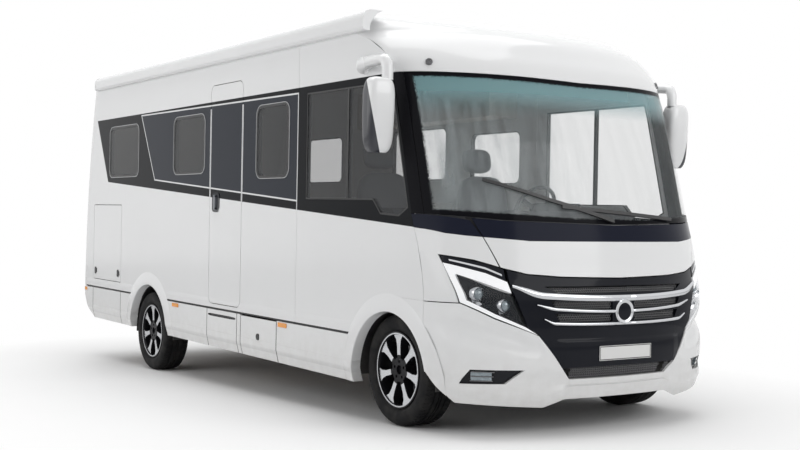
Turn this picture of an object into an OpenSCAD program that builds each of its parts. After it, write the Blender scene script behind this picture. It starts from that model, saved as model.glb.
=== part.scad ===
/* [Stance] */
// Distance between the axles
wheelbase = 4085; // [4000:5:4200]
// Nose-down attitude of the empty vehicle, in degrees
rake = 1.76; // [0:0.01:2.4]
// Rolling radius of the tyres
wheel_r = 360; // [350:1:370]
// Section width of the tyres
tyre_w = 236; // [215:1:240]
// Radius of the rim's outer lip
rim_r = 248; // [235:1:252]
// How far the front tyres stand inside the body's sides
front_inset = 79; // [70:1:95]
// How far the rear tyres stand inside the body's sides
rear_inset = 43; // [35:1:60]

/* [Body shell] */
// Width over the side walls
body_w = 2270; // [2250:5:2300]
// Thickness of a sandwich wall, door or roof panel
wall_t = 32; // [26:1:36]
// Thickness of the moulded front skins
skin_t = 16; // [10:1:20]
// Nose ahead of the front axle
front_hang = 972; // [960:2:985]
// Tail behind the rear axle
rear_hang = 1820; // [1790:5:1840]
// How far the tail sweeps forwards up to the roof edge
tail_sweep = 245; // [200:5:260]
// Radius of the rear corners in plan
tail_r = 80; // [60:5:100]
// Lower edge of the walls
sill_z = 555; // [545:1:565]
// Height at which a wall turns into the roof edge
cant_z = 2560; // [2550:5:2580]
// Radius of the roof edge
roof_r = 140; // [120:5:150]
// Where the cab part of the side begins, behind the front axle
cab_x = 1226; // [1210:2:1240]
// Gap around doors and flaps
gap = 6; // [5:0.5:8]
// Thickness of the floor panel
floor_t = 55; // [45:1:65]

/* [Arches] */
// Space between a front tyre and its arch
front_arch_room = 74; // [68:1:85]
// How far the front arches' centre lies below the wheel centre
front_arch_drop = 57; // [50:1:65]
// How far the front arches sit ahead of the axle
front_arch_dx = 24; // [0:1:40]
// Space between a rear tyre and its arch
rear_arch_room = 90; // [80:1:100]
// How far the rear arches' centre lies below the wheel centre
rear_arch_drop = 146; // [140:1:150]
// How far the rear arches sit ahead of the axle
rear_arch_dx = 30; // [0:1:50]
// Width of the flare around an arch
flare_w = 62; // [40:2:75]
// How far the flare stands out
flare_h = 11; // [6:1:14]
// Depth of the arch's inward lip
lip_depth = 52; // [30:2:60]

/* [Skirts] */
// Lower edge of the skirts
skirt_z = 238; // [228:1:250]
// Height of the crease in the skirts
crease_z = 330; // [320:1:345]
// How far the skirt tucks in below the crease
skirt_tuck = 22; // [15:1:30]
// Thickness of the skirt panels
skirt_t = 18; // [14:1:22]

/* [Doors and flaps] */
// Entry door's front edge, behind the cab joint
door_back = 916; // [900:2:930]
// Entry door, width
door_w = 592; // [580:2:600]
// Entry door's lower edge above the sill
door_lift = 45; // [40:1:60]
// Entry door's upper edge below the roof edge
door_head = 172; // [160:2:200]
// Corner radius of the entry door
door_r = 60; // [40:2:80]
// Garage doors' rear edge, ahead of the tail
garage_in = 315; // [310:1:345]
// Garage doors, width
garage_w = 798; // [760:2:805]
// Garage doors' lower edge above the sill
garage_lift = 85; // [80:1:95]
// Garage doors, height
garage_h = 762; // [740:2:770]
// Skirt locker flap, width
locker_w = 606; // [590:2:620]

/* [Windows] */
// Corner radius of the side windows
window_r = 70; // [55:5:80]
// Width of a window's outer frame
frame_w = 11; // [8:1:14]
// Thickness of the side panes
pane_t = 6; // [4:0.5:8]
// Thickness of the windscreen
screen_t = 8; // [6:0.5:10]
// Width of the screen pillars
pillar_w = 25; // [20:1:32]

/* [Hidden] */
white = [0.93, 0.93, 0.94];
black = [0.06, 0.06, 0.07];
dark = [0.22, 0.23, 0.25];
silver = [0.75, 0.76, 0.78];
smoked = [0.2, 0.22, 0.24, 0.6];
half_w = body_w / 2;
inner_w = half_w - wall_t;
tail_x = wheelbase + rear_hang;
front_track = half_w - front_inset - tyre_w / 2;
rear_track = half_w - rear_inset - tyre_w / 2;
// Height of the wheel centres in the body's own drawing
hub_z = 360;
// Gap between fixed panels
joint = 3;

// The front, from the bottom up: height, and how far the middle lies behind the nose and the
// corner behind the middle
cap_z = cant_z - 325;
screen_z = 1320;
cap_len = 1422;
cap_x = front_hang - cap_len;
FRONT = [[200, 67, 485], [260, 52, 503], [380, 37, 523], [450, 7, 555], [530, 0, 564],
    [700, 14, 554], [890, 22, 550], [990, 57, 530], [1190, 90, 557], [screen_z, 117, 588],
    [(screen_z + cap_z) / 2, 272, 550], [cap_z, 472, 480], [cap_z + 90, 510, 487],
    [cap_z + 165, 562, 500], [cant_z - 60, 640, 602], [cant_z, 732, 690],
    [cant_z + roof_r / 2, 952, 470], [cant_z + roof_r, cap_len, 0]];
NOSE = [for (s = FRONT) [s[0], front_hang - s[1]]];
CORNER = [for (s = FRONT) [s[0], front_hang - s[1] - s[2]]];
corner_n = 2.6;
corner_k = 0.6;
// Height of the foremost and of the rearmost point
nose_z = 530;
tail_z = 440;
mid_x = ((front_hang - tail_x) * cos(rake) + (nose_z + tail_z) * sin(rake)) / 2;

// Sets the body down on its wheels with its nose-down attitude
module set_down() {
    translate([-mid_x, 0, wheel_r - hub_z]) rotate([0, rake, 0]) children();
}
// Wheel centres in the body's own axes
function to_body(x) = [x * cos(rake) - hub_z * sin(rake), x * sin(rake) + hub_z * cos(rake)];
front_hub = to_body(0);
rear_hub = to_body(-wheelbase);
front_arch_r = wheel_r + front_arch_room;
rear_arch_r = wheel_r + rear_arch_room;
front_arch = [front_hub[0] + front_arch_dx, hub_z - front_arch_drop];
rear_arch = [rear_hub[0] + rear_arch_dx, hub_z - rear_arch_drop];
lip_t = 10;

// Half width of the body at a height
function hw(z) = z < crease_z ? half_w - skirt_tuck * (crease_z - z) / (crease_z - skirt_z)
    : z <= cant_z ? half_w
    : half_w - roof_r + sqrt(max(roof_r * roof_r - pow(z - cant_z, 2), 0));
// Front surface: x over y and z
function front_x(y, z) = let(c = lookup(z, CORNER), r = min(abs(y) / hw(z), 1))
    c + (lookup(z, NOSE) - c) * pow(1 - pow(r, corner_n), corner_k);
// The same surface the other way round: half width over x and z
function side_y(x, z) = let(c = lookup(z, CORNER), s = (x - c) / (lookup(z, NOSE) - c))
    s <= 0 ? hw(z) : hw(z) * pow(1 - pow(min(s, 1), 1 / corner_k), 1 / corner_n);
// A point of the front surface moved outwards by d along its normal
function front_p(y, z, d = 0) = let(
        h = 0.5,
        w = hw(z),
        yc = max(min(y, w - h), h - w),
        fy = (front_x(yc + h, z) - front_x(yc - h, z)) / (2 * h),
        fz = (front_x(yc, z + 10) - front_x(yc, z - 10)) / 20,
        n = [1, -fy, -fz] / norm([1, -fy, -fz]))
    [front_x(y, z), y, z] + d * n;
// Tail: how far behind the front axle it lies at a height
function tail(z) = tail_x - tail_sweep * pow(max(z - sill_z, 0) / (cant_z - sill_z), 2);
// Distance in from the side, as y on the right
function in(d) = d - half_w;

// Closed shell between two grids of points with the same rows and columns
module slab(outer, inner) {
    r = len(outer);
    c = len(outer[0]);
    o = r * c;
    function at(i, j) = i * c + j;
    function quad(p, q, s, t) = [[p, q, s], [p, s, t]];
    polyhedron(
        points = concat([for (row = outer) for (p = row) p], [for (row = inner) for (p = row) p]),
        faces = concat(
            [for (i = [0:r - 2]) for (j = [0:c - 2])
                each quad(at(i, j), at(i + 1, j), at(i + 1, j + 1), at(i, j + 1))],
            [for (i = [0:r - 2]) for (j = [0:c - 2])
                each quad(o + at(i, j), o + at(i, j + 1), o + at(i + 1, j + 1), o + at(i + 1, j))],
            [for (j = [0:c - 2]) each quad(at(0, j), at(0, j + 1), o + at(0, j + 1), o + at(0, j))],
            [for (j = [0:c - 2]) each quad(at(r - 1, j + 1), at(r - 1, j), o + at(r - 1, j),
                o + at(r - 1, j + 1))],
            [for (i = [0:r - 2]) each quad(at(i + 1, 0), at(i, 0), o + at(i, 0), o + at(i + 1, 0))],
            [for (i = [0:r - 2]) each quad(at(i, c - 1), at(i + 1, c - 1), o + at(i + 1, c - 1),
                o + at(i, c - 1))]));
}
// Points along a polyline of [y, z], n to each of its edges
function refine(poly, n) = concat(
    [for (i = [0:len(poly) - 2]) for (k = [0:n - 1]) poly[i] + (poly[i + 1] - poly[i]) * k / n],
    [poly[len(poly) - 1]]);
// Panel on the front surface between two polylines of [y, z]: both run towards -Y with a below b,
// or both run upwards with a outside b
module front_patch(a, b, rows, cols, thick, proud = 0) {
    ra = refine(a, rows);
    rb = refine(b, rows);
    function q(i, j) = ra[i] + (rb[i] - ra[i]) * j / cols;
    function skin(d) = [for (i = [0:len(ra) - 1]) [for (j = [0:cols])
        front_p(q(i, j)[0], q(i, j)[1], d)]];
    slab(skin(proud), skin(proud - thick));
}
// Panel right across the front. Edges from the bottom up are tables of z over |y|, with steps
// rows between two of them, widths is the half width over the share of the height, and across
// lists the columns as shares of the half width
function band_z(edges, k, t, y) = let(b = lookup(y, edges[k])) b + (lookup(y, edges[k + 1]) - b) * t;
module front_band(edges, widths, steps, across, thick, proud = 0, relief = 0) {
    n = len(edges) - 1;
    cols = len(across) - 1;
    function wide(k, t, j) = across[j] * lookup((k + t) / n, widths);
    function z(k, t, j) = band_z(edges, k, t, abs(wide(k, t, j)));
    function y(k, t, j) = wide(k, t, j) * min(1, hw(z(k, t, j)) / half_w);
    function d(k, t, j) = relief == 0 ? 0 : bumper_relief(abs(wide(k, t, j)), k + t);
    function skin(off) = [for (k = [0:n - 1]) for (i = [0:steps - (k < n - 1 ? 1 : 0)])
        [for (j = [0:cols]) front_p(y(k, i / steps, j), z(k, i / steps, j), off + d(k, i / steps, j))]];
    slab(skin(proud), skin(proud - thick));
}
// Shares of the half width from one side to the other, closer together near the corners
function spread(n) = [for (j = [-n:n]) sin(90 * j / n)];
// The same from the places of an edge's kinks, n steps between two of them
function kinks(edge, n) = let(
        k = [for (e = edge) e[0] / half_w],
        half = concat([for (i = [0:len(k) - 2]) for (m = [0:n - 1]) k[i] + (k[i + 1] - k[i]) * m / n],
            [1]))
    concat([for (i = [len(half) - 1:-1:1]) -half[i]], half);
// Straight cut through the front, from its outline of [y, z]
module front_cut() {
    rotate([90, 0, 90]) linear_extrude(front_hang + 200) children();
}
// Both sides of what is modelled on the right
module both() {
    children();
    mirror([0, 1, 0]) children();
}
// Flat panel in the plane of the right wall, from its outline of [x, z]
module wall_panel(y_out, thick) {
    translate([0, y_out + thick, 0]) rotate([90, 0, 0]) linear_extrude(thick) children();
}
// Rectangle with true arcs at its corners
module rounded(x0, z0, w, h, r) {
    translate([x0, z0 + r]) square([w, h - 2 * r]);
    translate([x0 + r, z0]) square([w - 2 * r, h]);
    for (x = [x0 + r, x0 + w - r]) for (z = [z0 + r, z0 + h - r])
        translate([x, z]) circle(r, $fn = 48);
}
// Upright bar along y
module cross_pin(x, z, r, w) {
    translate([x, 0, z]) rotate([90, 0, 0]) cylinder(r = r, h = w, center = true, $fn = 96);
}
module arch_cuts() {
    cross_pin(front_arch[0], front_arch[1], front_arch_r + lip_t + 0.5, 2 * body_w);
    cross_pin(rear_arch[0], rear_arch[1], rear_arch_r + lip_t + 0.5, 2 * body_w);
}

// Windows of each side: rear edge, width, lower edge below the roof edge, height
door_x1 = -cab_x - door_back;
door_x0 = door_x1 - door_w;
door_z = sill_z + door_lift;
door_h = cant_z - door_head - door_z;
bed_window = [765 - tail_x, 770, 879, 480];
RIGHT_WINDOWS = [bed_window, [door_x0 - 774, 648, 880, 485], [-cab_x - 657, 516, 938, 540]];
LEFT_WINDOWS = [bed_window, [-cab_x - 2174, 900, 880, 485], [-cab_x - 900, 692, 928, 452]];
module window_shape(w, grow) {
    rounded(w[0] - grow, cant_z - w[2] - grow, w[1] + 2 * grow, w[3] + 2 * grow, window_r + grow);
}
// Cab side window as its outline of [x, z]: its rear edge follows the cab joint, its front edge
// the screen pillar
cab_pane_x0 = -cab_x + 126;
CAB_WINDOW = [[cab_pane_x0, 1455], [front_hang - 1175, 1448], [front_hang - 1080, 1356],
    [front_hang - 863, 1345], [front_hang - 757, 1400], [front_hang - 937, cap_z - 135],
    [front_hang - 972, cap_z - 30], [cab_pane_x0, cap_z - 25]];
cab_divider_x = cab_pane_x0 + 571;

garage_x0 = garage_in - tail_x;
garage_z = sill_z + garage_lift;
tail_lap = 30;
TAIL_Z = [for (i = [0:8]) sill_z + (cant_z - sill_z) * i / 8];
function tail_joint(z) = -tail(z) + tail_r + tail_lap;
module side_wall(windows) {
    set_down() difference() {
        wall_panel(-half_w, wall_t) difference() {
            polygon(concat([for (i = [8:-1:0]) [tail_joint(TAIL_Z[i]), TAIL_Z[i]]],
                [[-cab_x, sill_z], [-cab_x, cant_z]]));
            for (w = windows) window_shape(w, 0);
            rounded(garage_x0, garage_z, garage_w, garage_h, 20);
        }
        arch_cuts();
    }
}
module side_wall_right() {
    color(white) difference() {
        side_wall(RIGHT_WINDOWS);
        set_down() wall_panel(-half_w - 1, wall_t + 2)
            rounded(door_x0 - gap, door_z - gap, door_w + 2 * gap, door_h + 2 * gap, door_r + gap);
    }
}
module side_wall_left() {
    color(white) mirror([0, 1, 0]) side_wall(LEFT_WINDOWS);
}
// Wing joint between the cab side and the bumper, shown as a groove on the side
seam_z = 838;
seam_x0 = front_hang - 957;
groove = 4;
front_skirt_z = 480;
module cab_sides() {
    color(white) set_down() both() difference() {
        wall_panel(-half_w, wall_t) difference() {
            polygon(concat([[-cab_x + joint, sill_z], [front_arch[0], sill_z],
                [front_arch[0], front_skirt_z], [lookup(front_skirt_z, CORNER) - joint, front_skirt_z]],
                [for (s = CORNER) if (s[0] > front_skirt_z && s[0] <= cant_z) [s[1] - joint, s[0]]],
                [[-cab_x + joint, cant_z]]));
            polygon(CAB_WINDOW);
        }
        arch_cuts();
        translate([seam_x0, -half_w - 1, seam_z - groove / 2]) cube([front_hang, groove + 1, groove]);
    }
}

// Plan outline of the tail from its left end round both corners to its right end: x of the
// rear face, half width, corner radius, x of both ends
function tail_plan(x, w, r, x_end) = concat(
    [[x_end, w]],
    [for (a = [0:22.5:90]) [x + r - r * sin(a), w - r + r * cos(a)]],
    [for (a = [0:22.5:90]) [x + r - r * cos(a), -w + r - r * sin(a)]],
    [[x_end, -w]]);
roof_x0 = -tail(cant_z) + max(roof_r, tail_r + tail_lap) + 10;
// Moulded tail that sweeps forwards and rounds over into the roof
module rear_wall() {
    function row(z, x, w, r, x_end) = [for (p = tail_plan(x, w, max(r, 2), x_end)) [p[0], p[1], z]];
    function skin(d) = concat(
        [for (z = TAIL_Z) row(z, -tail(z) + d, half_w - d, tail_r - d, tail_joint(z) - 1)],
        [for (b = [0:18:90]) let(e = roof_r - (roof_r - d) * cos(b))
            row(cant_z + 1 + (roof_r - 1 - d) * sin(b), -tail(cant_z) + e, half_w - e, tail_r - e,
                roof_x0 - 1)],
        [row(cant_z + roof_r - d, -tail(cant_z) + roof_r + 6, half_w - roof_r - 6, 2, roof_x0 - 1)]);
    color(white) set_down() slab(skin(0), skin(wall_t));
}

// Cross-section of the roof
module roof_profile(r, w) {
    translate([r - w, cant_z]) square([2 * (w - r), r]);
    for (s = [-1, 1]) translate([s * (w - r), cant_z]) intersection() {
        circle(r, $fn = 96);
        translate([-r, 0]) square([2 * r, r]);
    }
}
// Roof hatches: distance of the rear edge ahead of the tail, length and width
HATCHES = [[1300, 400, 400], [2560, 400, 400], [3780, 700, 500]];
hatch_lap = 22;
module roof() {
    color(white) set_down() difference() {
        translate([roof_x0, 0, 0]) rotate([90, 0, 90]) linear_extrude(cap_x - joint - roof_x0)
            difference() {
                roof_profile(roof_r, half_w);
                roof_profile(roof_r - wall_t, inner_w);
            }
        for (h = HATCHES) translate([h[0] - tail_x, -h[2] / 2, cant_z]) cube([h[1], h[2], 2 * roof_r]);
    }
}
module skylights() {
    color(dark) set_down() for (h = HATCHES) translate([h[0] - tail_x, 0, cant_z + roof_r]) {
        linear_extrude(14) rounded(-hatch_lap, -h[2] / 2 - hatch_lap, h[1] + 2 * hatch_lap,
            h[2] + 2 * hatch_lap, 30);
        linear_extrude(58) rounded(0, -h[2] / 2, h[1], h[2], 40);
        translate([0, 0, 58]) linear_extrude(14) rounded(30, 30 - h[2] / 2, h[1] - 60, h[2] - 60, 40);
    }
}

// Edges of the front's panels, as tables of z over |y|
SCREEN_BOTTOM = [[0, screen_z], [half_w - 368, 1338], [half_w - pillar_w, 1366], [half_w, 1368]];
SCREEN_TOP = [[0, cap_z], [half_w - 671, cap_z + 9], [half_w - 253, cap_z + 15],
    [half_w - pillar_w, cap_z + 21], [half_w, cap_z + 23]];
HOOD_BOTTOM = [[0, 990], [half_w - 683, 1000], [half_w - 462, 1016], [half_w - 312, 1053]];
BUMPER_BOTTOM = [[0, 255], [half_w - 705, 256], [half_w - 561, 208], [half_w - 101, 235],
    [half_w, 241]];
LIP_TOP = [[0, 332], [half_w - 744, 336], [half_w - 572, 289], [half_w - 331, 295],
    [half_w - 99, 316], [half_w, 330]];
BUMPER_CREASE = [[0, 356], [half_w - 731, 358], [half_w - 661, 412], [half_w - 476, 469],
    [half_w - 218, 517], [half_w - 19, 555], [half_w, 558]];
BUMPER_TOP = [[0, 374], [half_w - 731, 376], [half_w - 661, 446], [half_w - 508, 645],
    [half_w - 264, 744], [half_w - 107, 832], [half_w, 832]];
function shifted(edge, dz) = [for (e = edge) [e[0], e[1] + dz]];

module windscreen() {
    w = half_w - pillar_w;
    color([0.35, 0.5, 0.52, 0.5]) set_down()
        front_band([SCREEN_BOTTOM, SCREEN_TOP], [[0, w], [1, w]], 8, spread(10), screen_t);
}
module front_cap() {
    top = cant_z + roof_r;
    color(white) set_down() difference() {
        front_band(concat([shifted(SCREEN_TOP, joint)],
            [for (z = [cap_z + 90, cap_z + 165, cant_z - 60, cant_z, cant_z + roof_r / 2, top])
                [[0, z], [half_w, z]]]), [[0, half_w], [1, half_w]], 2, spread(10), skin_t);
        translate([cap_x - 100, -half_w, cap_z]) cube([100, body_w, top]);
        both() wall_panel(-half_w - 1, wall_t + 4) polygon(concat([[-cab_x, cap_z]],
            [for (s = CORNER) if (s[0] >= cap_z && s[0] <= cant_z) [s[1] - joint / 2, s[0]]],
            [[-cab_x, cant_z]]));
    }
}
module hood() {
    color(white) set_down() front_band([HOOD_BOTTOM, shifted(SCREEN_BOTTOM, -gap)],
        [[0, half_w - 312], [1, half_w - 199]], 6, spread(8), skin_t);
}
// Lamp outlines on the right, each running outwards: dark strip, daylight band, lamp bowl
STRIP_TOP = [[in(328), 1041], [in(212), 1079], [in(50), 1118]];
STRIP_BOTTOM = [[in(334), 975], [in(234), 1021], [in(54), 1078]];
BAND_TOP = [[in(340), 966], [in(234), 1016], [in(55), 1073]];
BAND_INNER = [[in(352), 900], [in(227), 955], [in(94), 1010]];
BAND_OUTER = [[in(502), 652], [in(264), 753], [in(107), 840], [in(55), 1072]];
BOWL_BOTTOM = [[in(433), 697], [in(264), 776], [in(133), 854], [in(95), 1004]];
BOWL_TOP = [[in(352), 889], [in(275), 931], [in(200), 966], [in(96), 1009]];
// Corner of the front around the lamps, below the dark part of the pillars
COWL_EDGE = [[in(240), 1231], [in(160), 1238], [in(80), 1250], [in(0), 1279]];
module front_mask() {
    color(white) set_down() both() {
        front_patch([[in(0), seam_z], [in(0), 890], [in(0), 990], [in(0), 1134]],
            [[in(100), seam_z], [in(89), 890], [in(69), 990], [in(42), 1125]], 2, 3, skin_t);
        front_patch([[in(306), 1056], [in(185), 1096], [in(42), 1124], [in(0), 1132]], COWL_EDGE, 2,
            4, skin_t);
    }
}
module pillars() {
    color(black) set_down() both() {
        front_patch([for (p = COWL_EDGE) p + [0, 2]], [[in(193), 1330], [in(137), 1344],
            [in(pillar_w + 2), 1362], [in(0), 1364]], 2, 2, skin_t);
        mid_z = (screen_z + cap_z) / 2;
        w = pillar_w - 2;
        front_patch([[in(0), 1367], [in(0), mid_z], [in(0), cap_z], [in(0), cap_z + 22]],
            [[in(w), 1366], [in(w), mid_z], [in(w), cap_z - 1], [in(w), cap_z + 20]], 4, 1, skin_t);
    }
}

// Relief of the bumper over |y| and its course: 0 bottom, 1 lip, 2 crease, 3 top
lip_out = 14;
scoop = 20;
function bumper_relief(y, u) = let(
        near = max(min((y - half_w + 560) / 150, 1), 0) * max(min((half_w - 10 - y) / 80, 1), 0),
        side = max(min((half_w - 35 - y) / 80, 1), 0))
    u < 1 ? side * lip_out * u : u < 2 ? side * lip_out * max(1 - 3 * (u - 1), 0)
    : -scoop * near * sin(180 * (u - 2));
FOG = [[in(336), 357], [in(106), 355], [in(150), 442], [in(430), 442]];
module bumper() {
    color(white) set_down() difference() {
        front_band([BUMPER_BOTTOM, LIP_TOP, BUMPER_CREASE, BUMPER_TOP], [[0, half_w], [1, half_w]],
            3, kinks(BUMPER_TOP, 2), skin_t, 0, 1);
        arch_cuts();
        both() front_cut() polygon(FOG);
    }
}
fog_back = skin_t + 8;
module fog_lamps() {
    color(dark) set_down() both() {
        front_patch([[in(300), 346], [in(90), 344]], [[in(440), 452], [in(140), 452]], 4, 2, 6,
            -fog_back);
        front_patch([[in(262), 372], [in(157), 373]], [[in(250), 428], [in(153), 431]], 2, 1, 14,
            6 - fog_back);
    }
}
module headlamps() {
    color(dark) set_down() both() {
        front_patch(BAND_OUTER, [[in(433), 697], [in(264), 776], [in(133), 854], [in(94), 1010]], 2,
            1, 60, -1);
        front_patch(BAND_INNER, BAND_TOP, 2, 1, 60, -1);
        front_patch(STRIP_BOTTOM, STRIP_TOP, 2, 1, 30, -6);
        front_patch(BOWL_BOTTOM, BOWL_TOP, 2, 2, 12, -56);
        for (l = [[216, 890], [352, 822]])
            translate([front_x(in(l[0]), l[1]) - 110, in(l[0]), l[1]]) rotate([0, 90, 0])
                cylinder(r = 44, h = 68, $fn = 32);
    }
}

// Grille: black panel with a slit and two rows of openings that mesh plates fill
grille_z0 = 452;
GRILLE_W = [[0, half_w - 662], [0.36, half_w - 513], [0.44, half_w - 447], [0.8, half_w - 360],
    [1, half_w - 346]];
SLIT = [[half_w - 553, 940], [half_w - 641, 900]];
// Rows of openings: half width, lower and upper edge
ROWS = [[half_w - 620, 798, 846], [half_w - 645, 722, 770]];
mesh_pitch = 30;
mesh_web = 6;
badge_r = 76;
badge_z = 781;
// Plate with staggered six-sided holes, [y, z] from one corner
module mesh_plate(w, h) {
    rows = floor((h - mesh_web) / (mesh_pitch * 0.87));
    cols = floor((w - mesh_web) / mesh_pitch - 0.5);
    linear_extrude(4) difference() {
        square([w, h]);
        for (i = [0:rows - 1]) for (j = [0:cols - 1])
            translate([(w - (cols - 0.5) * mesh_pitch) / 2 + (j + (i % 2) / 2) * mesh_pitch,
                (h - (rows - 1) * mesh_pitch * 0.87) / 2 + i * mesh_pitch * 0.87])
                rotate(30) circle((mesh_pitch - mesh_web) / 2, $fn = 6);
    }
}
// Mesh plate behind the front between two places y0 and y1 on the right, d behind the surface
module mesh_insert(y0, y1, z0, h, d) {
    a = [front_x(y0, z0 + h / 2) - d, -y0];
    b = [front_x(y1, z0 + h / 2) - d, -y1];
    translate([a[0], a[1], z0]) rotate([0, 0, atan2(b[1] - a[1], b[0] - a[0])]) rotate([90, 0, 0])
        mesh_plate(norm(b - a), h);
}
module grille() {
    color(black) set_down() {
        difference() {
            front_band([[[0, grille_z0], [half_w, grille_z0]], shifted(HOOD_BOTTOM, -gap - 2)],
                GRILLE_W, 9, spread(8), 34, -4);
            front_cut() polygon([[-SLIT[0][0], SLIT[0][1]], [-SLIT[1][0], SLIT[1][1]],
                [SLIT[1][0], SLIT[1][1]], [SLIT[0][0], SLIT[0][1]]]);
            for (r = ROWS) both() front_cut() polygon([[-badge_r - 16, r[1]], [-badge_r - 16, r[2]],
                [-r[0] - 30, r[2] + 8], [-r[0], r[1] + 8]]);
        }
        both() for (r = ROWS) mesh_insert(badge_r + 6, r[0] + 20, r[1] - 6, r[2] - r[1] + 20, 16);
        both() mesh_insert(4, SLIT[1][0], SLIT[1][1] - 6, SLIT[0][1] - SLIT[1][1] + 12, 16);
    }
}
// Bars: z at the middle, then y and z at the kink and at the end, and their height
BARS = [[865, half_w - 545, 885, half_w - 362, 942, 36], [784, half_w - 628, 803, half_w - 497, 832, 20],
    [708, half_w - 615, 718, half_w - 540, 747, 20]];
module grille_bars() {
    color(silver) set_down() {
        for (b = BARS) front_patch([[b[3], b[4] - b[5] / 3], [b[1], b[2] - b[5] / 2], [0, b[0] - b[5] / 2],
            [-b[1], b[2] - b[5] / 2], [-b[3], b[4] - b[5] / 3]],
            [[b[3], b[4] + b[5] / 3], [b[1], b[2] + b[5] / 2], [0, b[0] + b[5] / 2],
            [-b[1], b[2] + b[5] / 2], [-b[3], b[4] + b[5] / 3]], 6, 1, 12, 11.5);
        translate([front_x(0, badge_z - badge_r) - 3, 0, badge_z]) rotate([0, 90, 0]) difference() {
            cylinder(r = badge_r, h = 15, $fn = 64);
            translate([0, 0, 8]) cylinder(r = badge_r - 12, h = 10, $fn = 64);
        }
    }
}
tow_y = half_w - 763;
tow_z = 413;
module lower_mesh() {
    color(dark) set_down() {
        mesh_insert(-112, 112, 379, 68, 12);
        both() mesh_insert(118, tow_y - 34, 379, 68, 12);
    }
}

// Skirt cross-section, [y, z] from the sill down to its tucked lower edge
skirt_top = sill_z - gap;
module skirt_profile(top) {
    polygon([[-half_w, top], [-half_w, crease_z], [-hw(skirt_z), skirt_z],
        [-hw(skirt_z) + skirt_t, skirt_z], [-half_w + skirt_t, crease_z], [-half_w + skirt_t, top]]);
}
module skirt_run(x0, x1, top) {
    translate([x0, 0, 0]) rotate([90, 0, 90]) linear_extrude(x1 - x0) skirt_profile(top);
}
locker_x0 = door_x1 + 22;
locker_x1 = locker_x0 + locker_w;
step_x0 = door_x0 - 22;
step_x1 = door_x1 - 47;
skirt_end = -front_arch_r + front_arch[0];
module skirts() {
    runs = [[garage_x0 + joint, garage_x0 + garage_w - joint], [garage_x0 + garage_w, rear_arch[0]],
        [rear_arch[0], step_x0 - joint], [step_x0, step_x1], [step_x1 + joint, locker_x0 - gap],
        [locker_x1 + gap, front_arch[0]]];
    color(white) set_down() difference() {
        union() {
            for (r = runs) skirt_run(r[0], r[1], skirt_top);
            mirror([0, 1, 0]) {
                for (r = [0, 1]) skirt_run(runs[r][0], runs[r][1], skirt_top);
                skirt_run(rear_arch[0], front_arch[0], skirt_top);
            }
        }
        arch_cuts();
        translate([step_x0 + 30, -half_w - 1, skirt_top - 52]) cube([step_x1 - step_x0 - 60, 12, 14]);
    }
}
module locker_flap() {
    color(white) set_down() {
        skirt_run(locker_x0, locker_x1, skirt_top - 8);
        translate([locker_x0 + locker_w / 2, -half_w + 4, 400]) rotate([90, 0, 0])
            cylinder(r = 24, h = 9, $fn = 32);
    }
}
// Tail moulding below the wall, which rounds under towards its lower edge
module rear_bumper() {
    function under(z) = 250 * pow(max(tail_z + 20 - z, 0) / (tail_z + 20 - skirt_z), 1.6);
    zs = [skirt_z, 290, crease_z, 370, tail_z + 20, skirt_top];
    function skin(d) = [for (z = zs) [for (p = tail_plan(under(z) - tail_x + d, hw(z) - d,
        tail_r - d, garage_x0)) [p[0], p[1], z]]];
    color(white) set_down() slab(skin(0), skin(skirt_t));
}

// Rolled edge and flare around each arch, following the side and the front's corner
flare_tape = 1.8;
FLARE = [[flare_w, flare_tape], [flare_w * 0.62, flare_h * 0.45], [flare_w * 0.3, flare_h * 0.92],
    [6, flare_h], [0, flare_h - 5], [0, -lip_depth], [lip_t, -lip_depth], [lip_t, flare_tape]];
// The flare lies on tape and keeps clear of the panel's crease and of the front's corner
flare_lift = 6;
flare_back = 14;
module arch_flare(c, r) {
    a0 = asin((skirt_z - c[1]) / r);
    n = 24;
    function at(a, f) = let(
            x = c[0] + (r + f[0]) * cos(a),
            z = max(c[1] + (r + f[0]) * sin(a), skirt_z),
            w = side_y(x - flare_back, z))
        [x, -min(w + flare_lift, max(w, half_w)) - f[1], z];
    function ring(k) = [for (f = FLARE) at(a0 + (180 - 2 * a0) * k / n, f)];
    m = len(FLARE);
    polyhedron(points = [for (k = [0:n]) each ring(k)], faces = concat(
        [for (k = [0:n - 1]) for (i = [0:m - 1]) each let(p = k * m + i, q = k * m + (i + 1) % m)
            [[p, q, q + m], [p, q + m, p + m]]],
        [[for (i = [m - 1:-1:0]) i]], [[for (i = [0:m - 1]) n * m + i]]));
}
module arch_flares() {
    color(white) set_down() both() {
        arch_flare(front_arch, front_arch_r);
        arch_flare(rear_arch, rear_arch_r);
    }
}
module tail_lamps() {
    lamp_h = 185;
    color([0.6, 0.05, 0.05]) set_down() both() for (k = [0:2])
        let(z = sill_z + 190 + k * (lamp_h + 10), a = -tail(z) - 0.5, b = -tail(z + lamp_h) - 0.5)
            translate([0, in(tail_r + 95), 0]) rotate([90, 0, 0]) linear_extrude(95, center = true)
                polygon([[a, z], [b, z + lamp_h], [b - 14, z + lamp_h - 6], [a - 14, z + 6]]);
}
// Orange lamps along the sides and small clear ones in the brow
MARKERS = [[105 - tail_x, 60], [door_x0 - 690, 130], [-cab_x - 190, 130]];
module marker_lamps() {
    color([0.9, 0.45, 0.1]) set_down() both() {
        for (m = MARKERS) translate([m[0] - m[1] / 2, -half_w - 7, sill_z - 46]) cube([m[1], 6.5, 32]);
        front_patch([[in(154), cap_z + 68], [in(126), cap_z + 67]],
            [[in(154), cap_z + 96], [in(126), cap_z + 95]], 1, 1, 8, 8.8);
    }
}

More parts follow.
